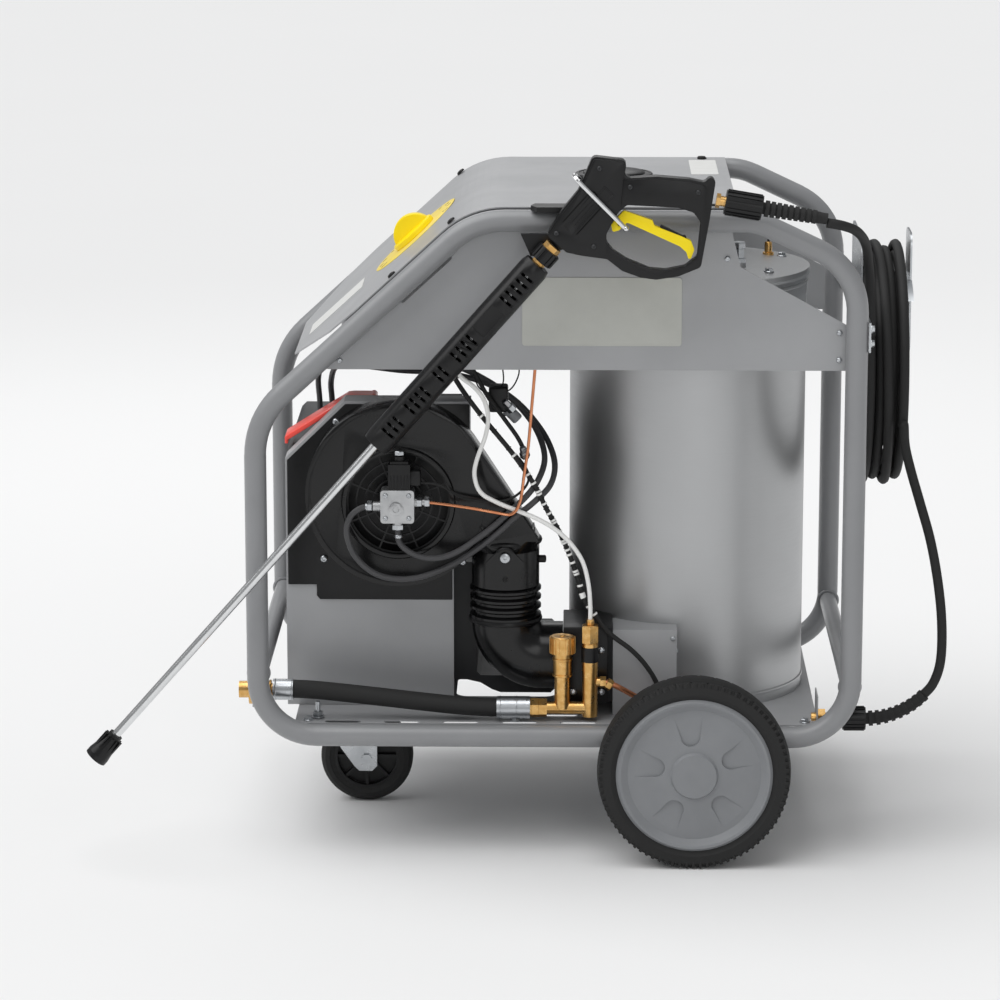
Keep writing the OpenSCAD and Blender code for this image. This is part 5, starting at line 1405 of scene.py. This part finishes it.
@dataclass
class BoilerTrim:
    """Seam, bands, lid bolts and pipe stubs of the boiler.

    Args:
        axis_x: Middle of the boiler.
        radius: Its outer radius.
        bolt_r: Radius of the ring of lid bolts.
    """

    axis_x: float = 211.0
    radius: float = 188.0
    bolt_r: float = 160.0

    def bands(self) -> None:
        """The pressed beads at foot and head, and the welded seam at the back."""
        for name, high in (("boiler_bead_low", 222.0), ("boiler_bead_high", 866.0)):
            bead = ring(name, self.radius + 0.2, 4.4, 128, 8, 1.4)
            dress(settle(bead, None, place(self.axis_x, 0, high)), MILL_STEEL)
        dress(settle(block("boiler_seam", (12, 2.4, 640), 0.8), None,
                     place(self.axis_x, self.radius + 0.2, 545)), MILL_STEEL)
        seal = ring("lid_seal", self.radius - 3, 5, 128, 8, 1.0)
        dress(settle(seal, None, place(self.axis_x, 0, 876.4)), RUBBER)

    def lid(self) -> None:
        """Bolts and washers round the lid, and the stubs of pipes and sensor on it."""
        ways = [math.radians(a) for a in range(20, 380, 60)]
        spots = [((self.axis_x + self.bolt_r * math.cos(a), self.bolt_r * math.sin(a), 891.5), UP) for a in ways]
        dress(spread(screw("lid_bolts", 13, "hex"), spots, "lid_bolts"), ZINC)
        stub = turned("lid_stub", [(13, 0), (13, 7), (10, 8), (10, 22), (12, 23), (12, 31), (10, 32.5)], 6)
        dress(settle(stub, None, place(286, -95, 905), smooth=False), ZINC)
        probe = turned("flue_probe", [(9, 0), (9, 5), (6, 6), (6, 20), (4.6, 22)], 24)
        dress(settle(probe, None, place(340, 60, 892)), BRASS)
        lead = (
            (340, 60, 912), (338, 72, 926), (312, 128, 930), (262, 196, 926), (206, 248, 914), (168, 270, 900),
            (150, 276.6, 888),
        )
        dress(wire("probe_lead", lead, 4.0), RUBBER)

    def outlet(self) -> None:
        """The nut of the hot water outlet at the foot."""
        nut = turned("boiler_union", [(9.5, 0), (10.6, 0.8), (10.6, 10), (9.5, 11)], 6)
        dress(spread(settle(nut, smooth=False), [((227.5, -198, 212), (0.1, 1, 0))], "boiler_union"), BRASS)

    def build(self) -> None:
        """Makes everything on the boiler."""
        self.bands()
        self.lid()
        self.outlet()


@dataclass
class FrameTrim:
    """Weld beads, tray bolts, axle caps and rack screws.

    Args:
        ripple: Angle from one ripple of a weld bead to the next, in radians.
    """

    ripple: float = 0.3142

    def welds(self) -> None:
        """A rippled bead where each cross tube meets a side frame."""
        bead = ring("weld_beads", 15.4, 5.4, 40, 8, 0.8)
        edit(bead)
        ripple = self.ripple
        pick(bead, lambda face: math.atan2(*face.calc_center_median().yx) % ripple < ripple / 2)
        bpy.ops.transform.resize(value=(1.035, 1.035, 1.12), center_override=(0, 0, 0))
        close_edit()
        spots = []
        for x, z in ((-460, 286), (460, 268)):
            spots += [((x, side * 279.5, z), (0, side, 0)) for side in (-1, 1)]
        dress(spread(settle(bead), spots, "weld_beads"), TUBE_PAINT)

    def tray(self) -> None:
        """The bolts of the tray and the studs with nuts near its front."""
        spots = [((x, y, 205.2), UP) for x in (-385, -60, 250, 392) for y in (-262, 262)]
        dress(spread(screw("tray_bolts", 13, "hex"), spots, "tray_bolts"), ZINC)
        stud = joined([
            settle(turned("tray_stud", [(3.8, 0), (3.8, 27), (3, 28)], 16)),
            settle(turned("tray_stud_nut", [(7.6, 5), (8.4, 5.8), (8.4, 11.4), (7.6, 12.2)], 6), smooth=False),
            settle(turned("tray_stud_washer", [(9.6, 2.6), (9.6, 4.6)], 24)),
        ], "tray_studs")
        dress(spread(stud, [((-370, -250, 205), UP), ((-370, 250, 205), UP)], "tray_studs"), ZINC)

    def axle(self) -> None:
        """Pressed caps at the axle's ends."""
        cap = turned("axle_caps", [(13, 0), (15, 1), (15, 6), (12.5, 9.5), (7, 11), (2, 11.2)], 32)
        spots = [((217, side * 361, 150), (0, side, 0)) for side in (-1, 1)]
        dress(spread(settle(cap), spots, "axle_caps"), ZINC)

    def rack(self) -> None:
        """Screws of the hose rack."""
        spots = [((481.2, y, z), (1, 0, 0)) for y in (-290, 290) for z in (812, 834)]
        dress(spread(screw("rack_screws", 11, "hex"), spots, "rack_screws"), ZINC)

    def bracket(self) -> None:
        """Bolts of the caster's plate."""
        spots = [((x, y, 161.8), (0, 0, -1)) for x in (-390, -310) for y in (-34, 34)]
        dress(spread(screw("caster_bolts", 12, "hex"), spots, "caster_bolts"), ZINC)

    def build(self) -> None:
        """Makes everything on the cage."""
        self.welds()
        self.tray()
        self.axle()
        self.rack()
        self.bracket()


# ---- Tyres ----


@dataclass
class WheelTrim:
    """Moulded lugs on the shoulders of the two big tyres.

    Args:
        axle: Place of the axle, along the machine and up.
        shoulder_r: Radius to the middle of a lug.
        side_y: Distance of the lugs from the machine's middle plane.
        count: Lugs round each tyre.
        lug: Size of one lug: outwards, round the tyre and across it.
    """

    axle: tuple[float, float] = (217, 150)
    shoulder_r: float = 143.2
    side_y: float = 373.0
    count: int = 84
    lug: Point = (9.4, 4.8, 6.6)

    def crown(self, name: str) -> bpy.types.Object:
        """One crown of lugs on the XY plane."""
        pattern = block(name, self.lug, 1.2)
        pattern.data.transform(Matrix.Translation((self.shoulder_r * MM, 0, 0)))
        lugs = [
            copied(pattern, Matrix.Rotation(2 * math.pi * k / self.count, 3, "Z"), Vector())
            for k in range(self.count)
        ]
        bpy.data.objects.remove(pattern, do_unlink=True)
        return joined(lugs, name)

    def build(self) -> None:
        """Makes both crowns."""
        for side, body in ((-1, "left_wheel"), (1, "right_wheel")):
            at = place(self.axle[0], side * self.side_y, self.axle[1])
            dress(settle(self.crown("tyre_lugs_" + body), aim((0, side, 0)), at), RUBBER, body)


# ---- Whole machine ----


# Corner of the space that only the wire of the gun's holder reaches, in metres
WIRE_LOW = Vector((0.1, -0.328, 0.990))


def dress_nodes(nodes: dict[str, bpy.types.Object]) -> None:
    """Gives every CAD node its finish.

    Args:
        nodes: The CAD nodes by name.
    """
    for name, finish in NODE_FINISH.items():
        piece = nodes[name]
        piece.data.materials.clear()
        piece.data.materials.append(finish.build())
    holder = nodes["gun_holder"].data
    holder.materials.append(DRAWN_STEEL.build())
    for face in holder.polygons:
        if face.center.x > WIRE_LOW.x and face.center.y < WIRE_LOW.y and face.center.z > WIRE_LOW.z:
            face.material_index = 1


SOFT_EDGES: dict[str, tuple[float, Finish]] = {
    "gun_body": (2.2, NYLON), "trigger": (1.2, YELLOW_ABS), "lance_handle": (1.4, NYLON),
    "fuel_flap": (1.2, RED_ABS), "burner_flange": (1.6, NYLON), "blower_volute": (3.0, POLYAMIDE),
    "blower_bracket": (0.9, SHEET_PAINT), "blower_plate": (0.9, NYLON),
}


def soften(nodes: dict[str, bpy.types.Object], bodies: dict[str, list[str]]) -> None:
    """Puts moulded pieces with rounded edges in the place of the sharp ones.

    Args:
        nodes: The CAD nodes by name.
        bodies: The nodes of each body.
    """
    owner = {name: body for body, names in bodies.items() for name in names}
    for name, (wide, finish) in SOFT_EDGES.items():
        piece = bpy.data.objects.new(name + "_moulded", nodes[name].data.copy())
        bpy.context.scene.collection.objects.link(piece)
        edit(piece)
        bpy.ops.mesh.remove_doubles(threshold=2e-5)
        bpy.ops.mesh.dissolve_limited(angle_limit=math.radians(2))
        bpy.ops.object.mode_set(mode="OBJECT")
        soft = piece.modifiers.new("soft_edges", "BEVEL")
        soft.width, soft.segments, soft.limit_method = wide * MM, 2, "ANGLE"
        soft.angle_limit = math.radians(40)
        settle(piece)
        piece.data.materials.clear()
        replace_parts(dress(piece, finish, owner[name]), name)


PARTS: tuple[type, ...] = (CoverTrim, BlowerTrim, Plumbing, WaterTrim, GunTrim, PanelTrim, BoilerTrim, FrameTrim,
                           WheelTrim)


def main() -> None:
    """Builds the studio, the hose and the dressed machine."""
    logging.basicConfig(level=logging.INFO)
    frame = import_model()
    clear_selection()
    nodes = frame["nodes"]
    dress_nodes(nodes)
    Studio().build()
    PressureHose().build(nodes)
    soften(nodes, frame["record"]["behaviour"]["bodies"])
    for part in PARTS:
        part().build()


if __name__ == "__main__":
    main()
